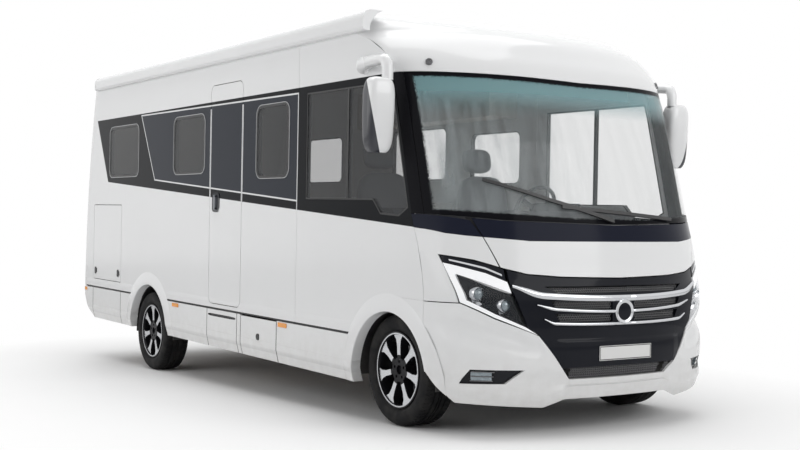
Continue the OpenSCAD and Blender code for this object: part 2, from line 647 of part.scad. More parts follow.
module window_frames() {
    module ring(w) {
        wall_panel(-half_w - 3.4, 3) difference() {
            window_shape(w, 8);
            window_shape(w, -frame_w);
        }
        wall_panel(-half_w - 1, wall_t + 4) difference() {
            window_shape(w, -0.5);
            window_shape(w, -frame_w);
        }
    }
    color(black) set_down() {
        for (w = RIGHT_WINDOWS) ring(w);
        mirror([0, 1, 0]) for (w = LEFT_WINDOWS) ring(w);
        both() wall_panel(-half_w + 1, wall_t - 1) {
            difference() {
                offset(delta = -0.5) polygon(CAB_WINDOW);
                offset(delta = -frame_w) polygon(CAB_WINDOW);
            }
            intersection() {
                offset(delta = -1) polygon(CAB_WINDOW);
                translate([cab_divider_x - 10, 0]) square([20, 2 * cant_z]);
            }
        }
    }
}
module windows() {
    module panes(list) {
        for (w = list) wall_panel(-half_w - 2, pane_t) window_shape(w, -frame_w - 1);
    }
    color(smoked) set_down() {
        panes(RIGHT_WINDOWS);
        mirror([0, 1, 0]) panes(LEFT_WINDOWS);
    }
}
module cab_glass() {
    color(smoked) set_down() both() wall_panel(-half_w + 5, pane_t) difference() {
        offset(delta = -frame_w - 1) polygon(CAB_WINDOW);
        translate([cab_divider_x - 11, 0]) square([22, 2 * cant_z]);
    }
}

// Flush handle: a dish plate with a grip across it
module handle(x, z) {
    translate([x, -half_w - 5, z]) rotate([90, 0, 0]) translate([0, 0, -8]) linear_extrude(8)
        rounded(-68, -78, 136, 156, 30);
    translate([x, -half_w - 5, z]) rotate([90, 0, 0]) linear_extrude(14)
        rounded(-16, -62, 32, 124, 15);
}
module entry_door() {
    color(white) set_down() {
        wall_panel(-half_w, wall_t) rounded(door_x0, door_z, door_w, door_h, door_r);
        handle(door_x0 + 118, door_z + 829);
    }
}
lock_w = 60;
module garage_door() {
    color(white) set_down() {
        wall_panel(-half_w, wall_t) rounded(garage_x0 + gap, garage_z + gap, garage_w - 2 * gap,
            garage_h - 2 * gap, 16);
        for (x = [garage_x0 + 80, garage_x0 + garage_w - 72])
            translate([x, -half_w + 4, garage_z + 88]) rotate([90, 0, 0]) linear_extrude(9)
                rounded(-lock_w / 2, -34, lock_w, 68, 8);
    }
}
module garage_door_right() { garage_door(); }
module garage_door_left() { mirror([0, 1, 0]) garage_door(); }

rail_y = half_w - 715;
rail_w = 70;
rail_h = 165;
rail_t = 6;
rail_x0 = 400 - tail_x;
rail_x1 = front_hang - 182;
tow_r = 10;
// Thickness of the plate that holds the tow eye and depth of the eye's thread
tow_plate = 40;
tow_depth = 80;
hitch_r = 6.5;
hitch_y = rail_y - 5;
HITCH_X = [rail_x0 + 120, rail_x0 + 270];
cross_step = 620;
OUTRIGGERS = [rail_x0 + 340, rear_arch[0] + 760, door_x0 + 330, -cab_x - 80];
// One frame rail, open towards the middle
module rail() {
    translate([rail_x0, rail_y + rail_w / 2, sill_z - rail_h]) rotate([90, 0, 90])
        linear_extrude(rail_x1 - rail_x0) difference() {
            translate([-rail_w, 0]) square([rail_w, rail_h]);
            translate([-rail_w - 1, rail_t]) square([rail_w - rail_t + 1, rail_h - 2 * rail_t]);
        }
}
module chassis_frame() {
    span = 2 * rail_y + rail_w;
    color(dark) set_down() difference() {
        union() {
            both() rail();
            for (x = [rail_x0 + 20:cross_step:-cab_x + 800])
                translate([x, -span / 2 + rail_t, sill_z - 125]) cube([60, span - 2 * rail_t, 80]);
            for (x = OUTRIGGERS) both() translate([x, span / 2 - 1, sill_z - 85])
                cube([50, half_w - skirt_t - 12 - span / 2, 60]);
            translate([rail_x1 - tow_plate, -span / 2, tow_z - 40])
                cube([tow_plate, span, sill_z - tow_z + 40]);
            translate([rail_x1 - 1, -tow_y, tow_z]) rotate([0, 90, 0])
                cylinder(r = 18, h = tow_depth - tow_plate + 1, $fn = 48);
        }
        translate([rail_x1 - tow_plate - 1, -tow_y, tow_z]) rotate([0, 90, 0])
            cylinder(r = tow_r, h = tow_depth + 2, $fn = 48);
        for (x = HITCH_X) both() translate([x, hitch_y, sill_z - rail_h - 1])
            cylinder(r = hitch_r, h = rail_t + 2, $fn = 48);
    }
}

// Inner walls of the wheel housings: the front ones stand clear of the steered tyres
front_liner_y = front_track - wheel_r / 2 - tyre_w / 2 - 40;
rear_liner_y = rear_track - tyre_w / 2 - 45;
// The front housings are wider than their arches, for the steered tyres
front_liner_r = front_arch_r + 16;
// Room between a housing and the lip of its arch, which follows the tucked skirt
liner_room = 12;
// Half-round wheel housing
module liner(c, r, y_in) {
    difference() {
        translate([c[0], -y_in, c[1]]) rotate([90, 0, 0]) difference() {
            cylinder(r = r - 2, h = half_w - lip_depth - liner_room - y_in, $fn = 96);
            translate([0, 0, 5]) cylinder(r = r - 8, h = half_w, $fn = 96);
        }
        translate([c[0] - r, -half_w, c[1] - 20 - r]) cube([2 * r, half_w, r]);
    }
}
module arch_liners() {
    color(black) set_down() both() {
        liner(front_arch, front_liner_r, front_liner_y);
        difference() {
            liner(rear_arch, rear_arch_r, rear_liner_y);
            translate([rear_hub[0] - 90, -rear_liner_y - 10, 0]) cube([180, 20, rear_hub[1] + 80]);
        }
    }
}
// Room that a wheel housing takes out of the floor
module housing(c, r, y_in) {
    both() translate([c[0], 4 - y_in, c[1]]) rotate([90, 0, 0]) cylinder(r = r, h = half_w, $fn = 96);
}
cab_floor_x = -cab_x + 226;
firewall_x = -150;
module floor_panel() {
    color([0.5, 0.45, 0.4]) set_down() difference() {
        translate([0, 0, sill_z]) linear_extrude(floor_t)
            polygon(tail_plan(wall_t + 6 - tail_x, inner_w - 2, tail_r, cab_floor_x - 1));
        housing(rear_arch, rear_arch_r + lip_t + 1, rear_liner_y);
    }
}
module bulkhead() {
    color(dark) set_down() difference() {
        translate([0, inner_w - 2, 0]) rotate([90, 0, 0]) linear_extrude(2 * inner_w - 4)
            polygon([[cab_floor_x, sill_z], [firewall_x, sill_z], [firewall_x, 1040],
                [firewall_x - 28, 1040], [firewall_x - 28, sill_z + floor_t],
                [cab_floor_x, sill_z + floor_t]]);
        housing(front_arch, front_liner_r, front_liner_y);
    }
}
module engine() {
    color(dark) set_down() translate([-80, 55 - rail_y, 330]) cube([480, 2 * rail_y - 110, 520]);
}
module waste_tank() {
    color(dark) set_down() translate([locker_x0 - 30, in(185), 0]) translate([0, 0, 200])
        linear_extrude(262) rounded(0, 0, locker_w + 44, 480, 40);
}
// Kingpin axis, inside the wheel's middle plane
king_in = 20;
module front_suspension() {
    color(dark) set_down() {
        translate([-250, 40 - rail_y, 230]) cube([560, 2 * rail_y - 80, 60]);
        both() {
            translate([front_hub[0], -rail_y + 60, hub_z - 105]) rotate([90, 0, 0])
                cylinder(r = 20, h = front_track - 96 - rail_y + 60, $fn = 32);
            translate([front_hub[0], -front_track + 218, hub_z - 105])
                cylinder(r = 30, h = 450, $fn = 32);
        }
    }
}
module rear_axle() {
    spring_l = 1200;
    spring_z = rear_hub[1] + 51;
    color(dark) set_down() {
        cross_pin(rear_hub[0], rear_hub[1], 45, 2 * (rear_track - 40));
        both() {
            translate([rear_hub[0], -rear_track + 62, rear_hub[1]]) rotate([90, 0, 0])
                cylinder(r = 125, h = 74, $fn = 64);
            translate([rear_hub[0] - spring_l / 2, rail_y - 30, spring_z]) {
                cube([spring_l, 60, 22]);
                for (x = [0, spring_l - 40]) translate([x, 0, 0])
                    cube([40, 60, sill_z - rail_h - 0.5 - spring_z]);
            }
            translate([rear_hub[0] - 50, rail_y - 30, rear_hub[1]]) cube([100, 60, 60]);
        }
    }
}

steer_x = -470;
steer_y = 460;
steer_z = 1420;
steer_tilt = 62;
module at_steering() {
    translate([steer_x, steer_y, steer_z]) rotate([0, -steer_tilt, 0]) children();
}
module steering_wheel() {
    color(black) set_down() at_steering() {
        rotate_extrude($fn = 64) translate([175, 0]) circle(15, $fn = 24);
        translate([0, 0, -45]) cylinder(r = 52, h = 40, $fn = 48);
        for (a = [0, 115, 245]) rotate([0, 0, a + 180]) translate([30, -18, -24])
            cube([140, 36, 14]);
    }
}
dash_y = inner_w - 40;
dash_top = 1400;
module dashboard() {
    color(dark) set_down() {
        translate([0, 0, screen_z - 80]) linear_extrude(70) polygon(concat([[-60, -dash_y]],
            [for (s = spread(10)) [front_x(s * dash_y, screen_z) - 70, s * dash_y]],
            [[-60, dash_y]]));
        translate([0, dash_y, 0]) rotate([90, 0, 0]) linear_extrude(2 * dash_y)
            polygon([[-330, dash_top - 350], [-330, dash_top - 70], [-260, dash_top],
                [-90, dash_top], [0, screen_z - 10], [0, dash_top - 350]]);
        translate([-290, steer_y - 150, dash_top - 1]) cube([150, 300, 60]);
        at_steering() translate([0, 0, -250]) cylinder(r = 32, h = 198, $fn = 32);
    }
}
seat_y = 460;
seat_x = -850;
module seats() {
    floor_top = sill_z + floor_t;
    color([0.5, 0.5, 0.52]) set_down() both() translate([seat_x, seat_y, floor_top]) {
        translate([-190, -190, 0]) cube([380, 380, 245]);
        translate([-250, -245, 245]) cube([500, 490, 140]);
        translate([-340, -230, 300]) rotate([0, -8, 0]) cube([130, 460, 770]);
        translate([-440, -130, 1085]) cube([95, 260, 190]);
    }
}
bed_z = 1440;
module furniture() {
    floor_top = sill_z + floor_t;
    w = inner_w - 2;
    n = rear_liner_y - 6;
    liner_top = rear_arch[1] + rear_arch_r + lip_t + 6;
    bed_x0 = rear_arch[0] - 75;
    color([0.6, 0.5, 0.4]) set_down() {
        translate([330 - tail_x, -w, bed_z]) cube([tail_x - 330 + bed_x0, 2 * w, 40]);
        translate([bed_x0, 0, 0]) rotate([90, 0, 90]) linear_extrude(30) polygon([[-w, liner_top],
            [-n, liner_top], [-n, floor_top], [n, floor_top], [n, liner_top], [w, liner_top],
            [w, bed_z + 40], [-w, bed_z + 40]]);
        translate([rear_arch[0] + rear_arch_r + 30, w - 600, floor_top]) cube([1200, 600, 860]);
        translate([-cab_x - 900, w - 760, floor_top]) cube([560, 760, 450]);
        translate([rear_arch[0] + rear_arch_r + 30, w - 300, cant_z - 370]) cube([2100, 300, 330]);
    }
}

// Mirrors: a tapered housing that hangs from an arm on the wall
mirror_x = front_hang - 842;
mirror_z = cap_z + 95;
mirror_w = 195;
mirror_h = 485;
module mirrors() {
    arm_y = -half_w - 115;
    color(white) set_down() both() {
        translate([mirror_x - 95, -half_w - 167, mirror_z - 360]) rotate([90, 0, 90]) hull() {
            linear_extrude(110) rounded(-mirror_w / 2, -mirror_h / 2, mirror_w, mirror_h, 60);
            linear_extrude(155) rounded(30 - mirror_w / 2, 30 - mirror_h / 2, mirror_w - 60,
                mirror_h - 60, 50);
        }
        hull() {
            translate([mirror_x - 460, -half_w - 0.5, mirror_z]) rotate([90, 0, 0])
                cylinder(r = 58, h = 12, $fn = 32);
            translate([mirror_x - 400, -half_w - 50, mirror_z]) sphere(38, $fn = 24);
        }
        hull() {
            translate([mirror_x - 400, -half_w - 50, mirror_z]) sphere(38, $fn = 24);
            translate([mirror_x, arm_y, mirror_z - 10]) sphere(34, $fn = 24);
        }
        hull() {
            translate([mirror_x, arm_y, mirror_z - 10]) sphere(34, $fn = 24);
            translate([mirror_x, arm_y, mirror_z - 150]) sphere(34, $fn = 24);
        }
    }
}
module wipers() {
    color(black) set_down() {
        front_patch([[-20, 1322], [-496, 1452], [-853, 1566]], [[-18, 1346], [-492, 1472],
            [-848, 1584]], 4, 1, 14, 26);
        front_patch([[537, 1340], [100, 1372], [-404, 1406]], [[540, 1362], [103, 1392],
            [-400, 1424]], 4, 1, 14, 26);
    }
}
awning_x0 = 445 - tail_x;
awning_x1 = front_hang - 1262;
awning_z = cant_z + 2;
awning_h = 132;
awning_out = 52;
module awning_case() {
    module case_shape(grow) {
        difference() {
            hull() {
                translate([half_w - roof_r, awning_z - grow]) square([60, awning_h + 2 * grow]);
                translate([half_w + awning_out - 22, awning_z + 22]) circle(22 + grow, $fn = 48);
                translate([half_w + awning_out - 62, awning_z + awning_h - 62])
                    circle(62 + grow, $fn = 64);
            }
            square([half_w + 0.6, cant_z]);
            roof_profile(roof_r + 0.8, half_w + 0.8);
        }
    }
    color(white) set_down() mirror([0, 1, 0]) {
        translate([awning_x0, 0, 0]) rotate([90, 0, 90]) linear_extrude(awning_x1 - awning_x0)
            case_shape(0);
        for (x = [awning_x0 - 18, awning_x1 - 2]) translate([x, 0, 0]) rotate([90, 0, 90])
            linear_extrude(20) case_shape(3);
    }
}

// Wheels stand level, so they are placed in the vehicle's frame directly
module at_wheel(x, y) {
    translate([x - mid_x, y, wheel_r]) children();
}
bead_z = tyre_w / 2 - 22.6;
tyre_n = 48;
TYRE = [[rim_r - 13, bead_z - 7], [rim_r + 2, bead_z], [rim_r + 14, tyre_w / 2 - 9],
    [(rim_r + wheel_r) / 2, tyre_w / 2], [wheel_r - 20, tyre_w / 2 - 8],
    [wheel_r - 6, tyre_w / 2 - 20], [wheel_r, tyre_w / 2 - 36]];
// Tyre about the y axis, as rings of points
module tyre() {
    ring = concat(TYRE, [for (i = [len(TYRE) - 1:-1:0]) [TYRE[i][0], -TYRE[i][1]]]);
    m = len(ring);
    color(black) polyhedron(
        points = [for (k = [0:tyre_n - 1]) let(a = k * 360 / tyre_n) for (p = ring)
            [p[0] * cos(a), p[1], p[0] * sin(a)]],
        faces = [for (k = [0:tyre_n - 1]) for (i = [0:m - 1])
            let(j = (i + 1) % m, q = (k + 1) % tyre_n * m, p = k * m)
            each [[p + i, p + j, q + j], [p + i, q + j, q + i]]]);
}
// Rim for the right side, its face towards -Y: seven spokes cut out of a turned dish
spokes = 7;
hub_r = 78;
barrel_r = rim_r - 14.3;
SPOKE = [[0, 20], [60, 17], [150, 18], [195, 27], [barrel_r - 6, 56]];
module rim() {
    lip_z = bead_z + 0.6;
    color(silver) rotate([90, 0, 0]) {
        rotate_extrude($fn = 96) polygon([[barrel_r - 8, -lip_z - 8], [barrel_r + 6, -lip_z - 8],
            [barrel_r + 6, -lip_z], [barrel_r, -lip_z], [barrel_r, lip_z], [rim_r, lip_z],
            [rim_r, lip_z + 12], [barrel_r - 4, lip_z + 12], [barrel_r - 10, lip_z - 6],
            [barrel_r - 10, -lip_z + 20]]);
        difference() {
            intersection() {
                rotate_extrude($fn = 96) polygon([[0, 20], [90, 20], [160, 34], [205, 46],
                    [barrel_r - 4, 62], [barrel_r - 4, 98], [205, 97], [160, 95], [90, 93], [0, 90]]);
                linear_extrude(120) {
                    circle(hub_r, $fn = 64);
                    for (k = [0:spokes - 1]) rotate(90 + k * 360 / spokes)
                        polygon(concat(SPOKE, [for (i = [len(SPOKE) - 1:-1:0])
                            [SPOKE[i][0], -SPOKE[i][1]]]));
                }
            }
            translate([0, 0, 74]) cylinder(r = 30, h = 40, $fn = 48);
            for (k = [0:4]) rotate(90 + k * 72) translate([54, 0, 62]) cylinder(r = 10, h = 60, $fn = 24);
        }
    }
}
module tyre_front_right() { at_wheel(0, -front_track) tyre(); }
module tyre_front_left() { at_wheel(0, front_track) tyre(); }
module tyre_rear_right() { at_wheel(-wheelbase, -rear_track) tyre(); }
module tyre_rear_left() { at_wheel(-wheelbase, rear_track) tyre(); }
module rim_front_right() { at_wheel(0, -front_track) rim(); }
module rim_front_left() { at_wheel(0, front_track) mirror([0, 1, 0]) rim(); }
module rim_rear_right() { at_wheel(-wheelbase, -rear_track) rim(); }
module rim_rear_left() { at_wheel(-wheelbase, rear_track) mirror([0, 1, 0]) rim(); }
module knuckle() {
    color(dark) {
        rotate([90, 0, 0]) translate([0, 0, -70]) cylinder(r = 56, h = 84, $fn = 48);
        translate([-40, king_in - 8, -105]) cube([80, 58, 210]);
        translate([0, king_in, -130]) cylinder(r = 15, h = 260, $fn = 32);
    }
}
module knuckle_right() { at_wheel(0, -front_track) knuckle(); }
module knuckle_left() { at_wheel(0, front_track) mirror([0, 1, 0]) knuckle(); }

chassis_frame();
floor_panel();
side_wall_right();
side_wall_left();
cab_sides();
rear_wall();
roof();
front_cap();
front_mask();
pillars();
bumper();
arch_flares();
grille();
grille_bars();
lower_mesh();
windscreen();
cab_glass();
windows();
window_frames();
skirts();
rear_bumper();
headlamps();
fog_lamps();
tail_lamps();
marker_lamps();
arch_liners();
bulkhead();
dashboard();
seats();
furniture();
engine();
waste_tank();
front_suspension();
rear_axle();
mirrors();
wipers();
awning_case();
skylights();
hood();
entry_door();
garage_door_right();
garage_door_left();
locker_flap();
steering_wheel();
knuckle_right();
knuckle_left();
rim_front_right();
rim_front_left();
rim_rear_right();
rim_rear_left();
tyre_front_right();
tyre_front_left();
tyre_rear_right();
tyre_rear_left();
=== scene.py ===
"""Looks of the motorhome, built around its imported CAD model, in the order in which it is put together."""

import math

import bmesh
import bpy
import numpy as np
from mathutils import Matrix


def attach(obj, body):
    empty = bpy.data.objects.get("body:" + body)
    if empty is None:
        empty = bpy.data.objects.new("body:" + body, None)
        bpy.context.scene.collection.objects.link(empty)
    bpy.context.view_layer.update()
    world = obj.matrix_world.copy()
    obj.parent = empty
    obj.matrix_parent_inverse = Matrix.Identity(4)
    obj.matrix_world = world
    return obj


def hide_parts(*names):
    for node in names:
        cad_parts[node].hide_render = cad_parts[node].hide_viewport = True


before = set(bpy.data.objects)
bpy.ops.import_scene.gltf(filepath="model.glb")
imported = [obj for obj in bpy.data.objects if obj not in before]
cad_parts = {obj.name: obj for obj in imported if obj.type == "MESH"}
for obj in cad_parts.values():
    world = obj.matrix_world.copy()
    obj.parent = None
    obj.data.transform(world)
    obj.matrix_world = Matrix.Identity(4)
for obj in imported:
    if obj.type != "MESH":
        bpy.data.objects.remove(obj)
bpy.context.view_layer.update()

# Camera.
# The picture was taken from the front right corner at chest height with a short portrait lens.
# Place and angles come from a fit to the wheels, the straight lines of the side and the front.
MIDDLE_X = -2.45044063
EYE = np.array([6.3019 - MIDDLE_X, -5.1999, 1.1647])
YAW, PITCH, ROLL = (math.radians(a) for a in (33.529, -0.95, 0.095))
ahead = np.array([-math.cos(YAW) * math.cos(PITCH), math.sin(YAW) * math.cos(PITCH), -math.sin(PITCH)])
level = np.cross(ahead, [0, 0, 1])
level /= np.linalg.norm(level)
rise = np.cross(level, ahead)
right = math.cos(ROLL) * level + math.sin(ROLL) * rise
above = -math.sin(ROLL) * level + math.cos(ROLL) * rise
lens = bpy.data.cameras.new("camera")
lens.sensor_width = 36.0
lens.lens = 52.8415
lens.clip_end = 200
camera = bpy.data.objects.new("camera", lens)
camera.matrix_world = Matrix([[right[i], above[i], -ahead[i], EYE[i]] for i in range(3)] + [[0, 0, 0, 1]])
bpy.context.scene.collection.objects.link(camera)
bpy.context.scene.camera = camera
bpy.context.scene.view_settings.view_transform = "Standard"


# Floor, backdrop and studio lamps.
# A white sweep on which the vehicle stands, one broad ceiling light, and softboxes in front and
# at both sides.
class Wire:
    """A socket of a material's nodes: arithmetic on wires adds the Math nodes."""

    def __init__(self, finish, socket):
        self.finish = finish
        self.socket = socket

    def math(self, operation, *others):
        return self.finish.node("Math", {"operation": operation}, self, *others)

    def __add__(self, other):
        return self.math("ADD", other)

    def __radd__(self, other):
        return self.math("ADD", other)

    def __sub__(self, other):
        return self.math("SUBTRACT", other)

    def __rsub__(self, other):
        return self.finish.node("Math", {"operation": "SUBTRACT"}, other, self)

    def __mul__(self, other):
        return self.math("MULTIPLY", other)

    def __pow__(self, other):
        return self.math("POWER", other)

    def __abs__(self):
        return self.math("ABSOLUTE")

    def least(self, other):
        return self.math("MINIMUM", other)

    def most(self, other):
        return self.math("MAXIMUM", other)

    def step(self, edge, blur):
        """0 below edge, 1 above it, with a straight ramp blur wide."""
        return self.finish.node("MapRange", {}, self, edge - blur / 2, edge + blur / 2, 0.0, 1.0)


class Finish:
    """A procedural material: its shader, its sockets and the nodes that feed them."""

    def __init__(self, name, colour, rough, **sockets):
        self.material = bpy.data.materials.new(name)
        self.material.use_nodes = True
        self.tree = self.material.node_tree
        self.tree.nodes.clear()
        self.shader = self.tree.nodes.new("ShaderNodeBsdfPrincipled")
        out = self.tree.nodes.new("ShaderNodeOutputMaterial")
        self.tree.links.new(self.shader.outputs[0], out.inputs["Surface"])
        self.feed("Base Color", (*colour, 1))
        self.feed("Roughness", rough)
        for socket, value in sockets.items():
            self.feed(socket.replace("_", " "), value)

    def feed(self, socket, value):
        """Sets a socket of the shader to a value, or links a wire to it."""
        if isinstance(value, Wire):
            self.tree.links.new(value.socket, self.shader.inputs[socket])
        else:
            self.shader.inputs[socket].default_value = value

    def node(self, kind, settings, *values, out=0):
        """A node of that kind: its settings first, then the values or wires of its sockets."""
        made = self.tree.nodes.new("ShaderNode" + kind)
        for key, setting in settings.items():
            setattr(made, key, setting)
        for i, value in enumerate(values):
            if isinstance(value, Wire):
                self.tree.links.new(value.socket, made.inputs[i])
            elif value is not None:
                made.inputs[i].default_value = value
        return Wire(self, made.outputs[out])

    def place(self):
        """The piece's own x, y and z in metres."""
        at = self.node("TexCoord", {}, out=3)
        return [self.node("SeparateXYZ", {}, at, out=i) for i in range(3)]

    def noise(self, scale, detail=3.0, stretch=(1, 1, 1)):
        """Noise over the piece's own place, with its grain stretched along the axes."""
        at = self.node("TexCoord", {}, out=3)
        if stretch != (1, 1, 1):
            at = self.node("Mapping", {}, at, None, None, stretch)
        return self.node("TexNoise", {}, at, None, scale, detail)

    def mix(self, share, one, other):
        """Colour one where share is 0, the other where it is 1."""
        made = self.tree.nodes.new("ShaderNodeMix")
        made.data_type = "RGBA"
        for i, value in ((0, share), (6, one), (7, other)):
            if isinstance(value, Wire):
                self.tree.links.new(value.socket, made.inputs[i])
            else:
                made.inputs[i].default_value = (*value, 1) if i else value
        return Wire(self, made.outputs[2])

    def bump(self, height, depth):
        """Relief of that height pattern, depth metres from its lowest to its highest."""
        made = self.tree.nodes.new("ShaderNodeBump")
        made.inputs["Distance"].default_value = depth
        self.tree.links.new(height.socket, made.inputs["Height"])
        self.feed("Normal", Wire(self, made.outputs[0]))

    def mottle(self, one, other, *pattern):
        """Base colour that wanders between two shades over such a noise pattern."""
        self.feed("Base Color", self.mix(self.noise(*pattern), one, other))

    def grain(self, depth, *pattern):
        """Fine relief of that depth over a noise pattern of that scale, detail and stretch."""
        self.bump(self.noise(*pattern), depth)


def dress(finish, *pieces):
    """Gives the pieces that one finish in every material slot."""
    for piece in pieces:
        if isinstance(piece, str):
            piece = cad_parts[piece]
        if not piece.data.materials:
            piece.data.materials.append(finish.material)
        for i in range(len(piece.data.materials)):
            piece.data.materials[i] = finish.material


def new_mesh(name, points, faces, sharp=35):
    """A mesh at the origin from points and faces, smooth but for edges above sharp degrees."""
    mesh = bpy.data.meshes.new(name)
    mesh.from_pydata(np.asarray(points).reshape(-1, 3).tolist(), [], np.asarray(faces).tolist()
                     if not isinstance(faces, list) else faces)
    work = bmesh.new()
    work.from_mesh(mesh)
    bmesh.ops.recalc_face_normals(work, faces=work.faces)
    work.to_mesh(mesh)
    work.free()
    mesh.polygons.foreach_set("use_smooth", np.ones(len(mesh.polygons), bool))
    mesh.set_sharp_from_angle(angle=math.radians(sharp))
    mesh.update()
    piece = bpy.data.objects.new(name, mesh)
    bpy.context.scene.collection.objects.link(piece)
    return piece


floor_reach = 60.0
floor = new_mesh("floor", [[-floor_reach, -floor_reach, 0], [floor_reach, -floor_reach, 0],
                           [floor_reach, floor_reach, 0], [-floor_reach, floor_reach, 0]], [[0, 1, 2, 3]])
floor_finish = Finish("studio_floor", (0.82, 0.82, 0.82), 0.85)
seen = floor_finish.node("LightPath", {}, out=0)
x, y, _ = floor_finish.place()
far = ((x * x) * 0.38 + (y * y)).math("SQRT").step(2.7, 1.7)
floor_finish.mottle((0.93, 0.93, 0.93), (0.96, 0.96, 0.96), 1.2)
glow = floor_finish.tree.nodes.new("ShaderNodeEmission")
blend = floor_finish.tree.nodes.new("ShaderNodeMixShader")
out = next(n for n in floor_finish.tree.nodes if n.type == "OUTPUT_MATERIAL")
floor_finish.tree.links.new((far * seen).socket, blend.inputs[0])
floor_finish.tree.links.new(floor_finish.shader.outputs[0], blend.inputs[1])
floor_finish.tree.links.new(glow.outputs[0], blend.inputs[2])
floor_finish.tree.links.new(blend.outputs[0], out.inputs["Surface"])
dress(floor_finish, floor)

# The backdrop is white to the camera, through glass and in reflections, and lights at a third.
world = bpy.data.worlds.new("backdrop")
world.use_nodes = True
bpy.context.scene.world = world
sky = world.node_tree
path = sky.nodes.new("ShaderNodeLightPath")
shown = path.outputs["Is Camera Ray"]
for ray in ("Is Transmission Ray", "Is Glossy Ray"):
    either = sky.nodes.new("ShaderNodeMath")
    either.operation = "MAXIMUM"
    sky.links.new(shown, either.inputs[0])
    sky.links.new(path.outputs[ray], either.inputs[1])
    shown = either.outputs[0]
strength = sky.nodes.new("ShaderNodeMapRange")
strength.inputs["To Min"].default_value = 0.33
strength.inputs["To Max"].default_value = 1.0
sky.nodes["Background"].inputs["Color"].default_value = (1, 1, 1, 1)
sky.links.new(shown, strength.inputs["Value"])
sky.links.new(strength.outputs[0], sky.nodes["Background"].inputs["Strength"])


def softbox(name, place, target, size, power):
    """A rectangular area lamp of that size and power at a place, facing its target."""
    lamp = bpy.data.lights.new(name, "AREA")
    lamp.shape = "RECTANGLE"
    lamp.size, lamp.size_y = size
    lamp.energy = power
    holder = bpy.data.objects.new(name, lamp)
    way = np.subtract(target, place).astype(float)
    way /= np.linalg.norm(way)
    side = np.cross(way, [0, 0.001, 1])
    side /= np.linalg.norm(side)
    top = np.cross(side, way)
    holder.matrix_world = Matrix([[side[i], top[i], -way[i], place[i]] for i in range(3)] + [[0, 0, 0, 1]])
    bpy.context.scene.collection.objects.link(holder)


softbox("ceiling", (0.5, -0.5, 8.5), (0, 0, 0), (10, 6), 470)
softbox("front_box", (12, 2.5, 5.5), (2.5, 0, 1.2), (9, 6), 375)
softbox("side_box", (-1.5, -12, 5.2), (-0.8, 0, 1.2), (14, 6), 375)
softbox("back_box", (-10, 6, 5), (-2, 0, 1.2), (8, 4), 200)


# Chassis, axles, engine and tank.
# Two pressed C-section rails with cross members, a driven front subframe and leaf-sprung rear
# axle, all dip-coated black. Road dust dulls them from below.
def road_dust(finish, colour, reach=0.55):
    """Mixes grey road dust into a colour, more towards the ground, in soft patches."""
    x, y, z = finish.place()
    low = (reach - z).most(0.0) * (1 / reach)
    share = low * finish.noise(9.0, 6.0) * 0.75
    finish.feed("Base Color", finish.mix(share, colour, (0.20, 0.185, 0.17)))
    finish.feed("Roughness", share * 0.45 + 0.42)


chassis_coat = Finish("chassis_coat", (0.02, 0.02, 0.022), 0.5, Coat_Weight=0.15)
road_dust(chassis_coat, (0.018, 0.018, 0.02))
chassis_coat.grain(0.0006, 90.0, 4.0)
dress(chassis_coat, "chassis_frame", "front_suspension", "rear_axle", "knuckle_right", "knuckle_left")
cast_block = Finish("cast_block", (0.09, 0.09, 0.095), 0.6, Metallic=0.7)
road_dust(cast_block, (0.09, 0.09, 0.095), 0.9)
cast_block.grain(0.0012, 140.0, 5.0)
dress(cast_block, "engine")
grained_plastic = Finish("grained_plastic", (0.018, 0.018, 0.019), 0.62)
road_dust(grained_plastic, (0.016, 0.016, 0.017))
grained_plastic.grain(0.0004, 420.0, 3.0)
dress(grained_plastic, "waste_tank", "arch_liners", "lower_mesh", "wipers", "skylights")

# Floor, cab floor and built-in furniture.
# A plywood sandwich floor with a printed oak covering, and light board furniture with a fine
# upright grain and matt lacquer.
def wood(name, light, dark, rough, grain):
    """Board with long streaks of grain: noise stretched along one axis, plus fine pores."""
    finish = Finish(name, light, rough)
    streak = finish.noise(7.0, 6.0, grain)
    pores = finish.noise(60.0, 4.0, grain)
    finish.feed("Base Color", finish.mix((streak * 0.75 + pores * 0.35).step(0.55, 0.3), light, dark))
    finish.feed("Roughness", pores * 0.25 + rough)
    finish.bump(pores, 0.0004)
    return finish


dress(wood("oak_floor", (0.30, 0.21, 0.13), (0.19, 0.125, 0.075), 0.42, (1, 12, 12)), "floor_panel")
dress(wood("light_board", (0.55, 0.49, 0.41), (0.44, 0.38, 0.31), 0.4, (10, 10, 0.8)), "furniture")
cab_trim = Finish("cab_trim", (0.045, 0.047, 0.052), 0.6)
cab_trim.mottle((0.038, 0.04, 0.045), (0.055, 0.057, 0.062), 3.0)
cab_trim.grain(0.0005, 380.0, 2.0)
dress(cab_trim, "bulkhead")

# Side walls, doors, skirts and tail.
# Smooth glass-fibre faced sandwich panels in gloss white, with a black band at window height,
# a slate-grey field framed by white lines within it, and a black trim line at the sill.
RAKE = math.radians(1.76)
BAND_TOP = 2.258
BAND_REAR = ((-5.531, 2.258), (-5.191, 1.628))
BAND_FOOT = ((-5.191, 1.628), (0.456, 1.271))
# Corners of the grey field, then the width of the lines round it and the door's edges.
FIELD = ((-4.294, 2.234), (-3.954, 1.638), (-1.236, 1.449), (-1.236, 2.212))
LINE_W = 0.012
DOOR_EDGES = (-2.737, -2.139)
SILL_TRIM = 0.566
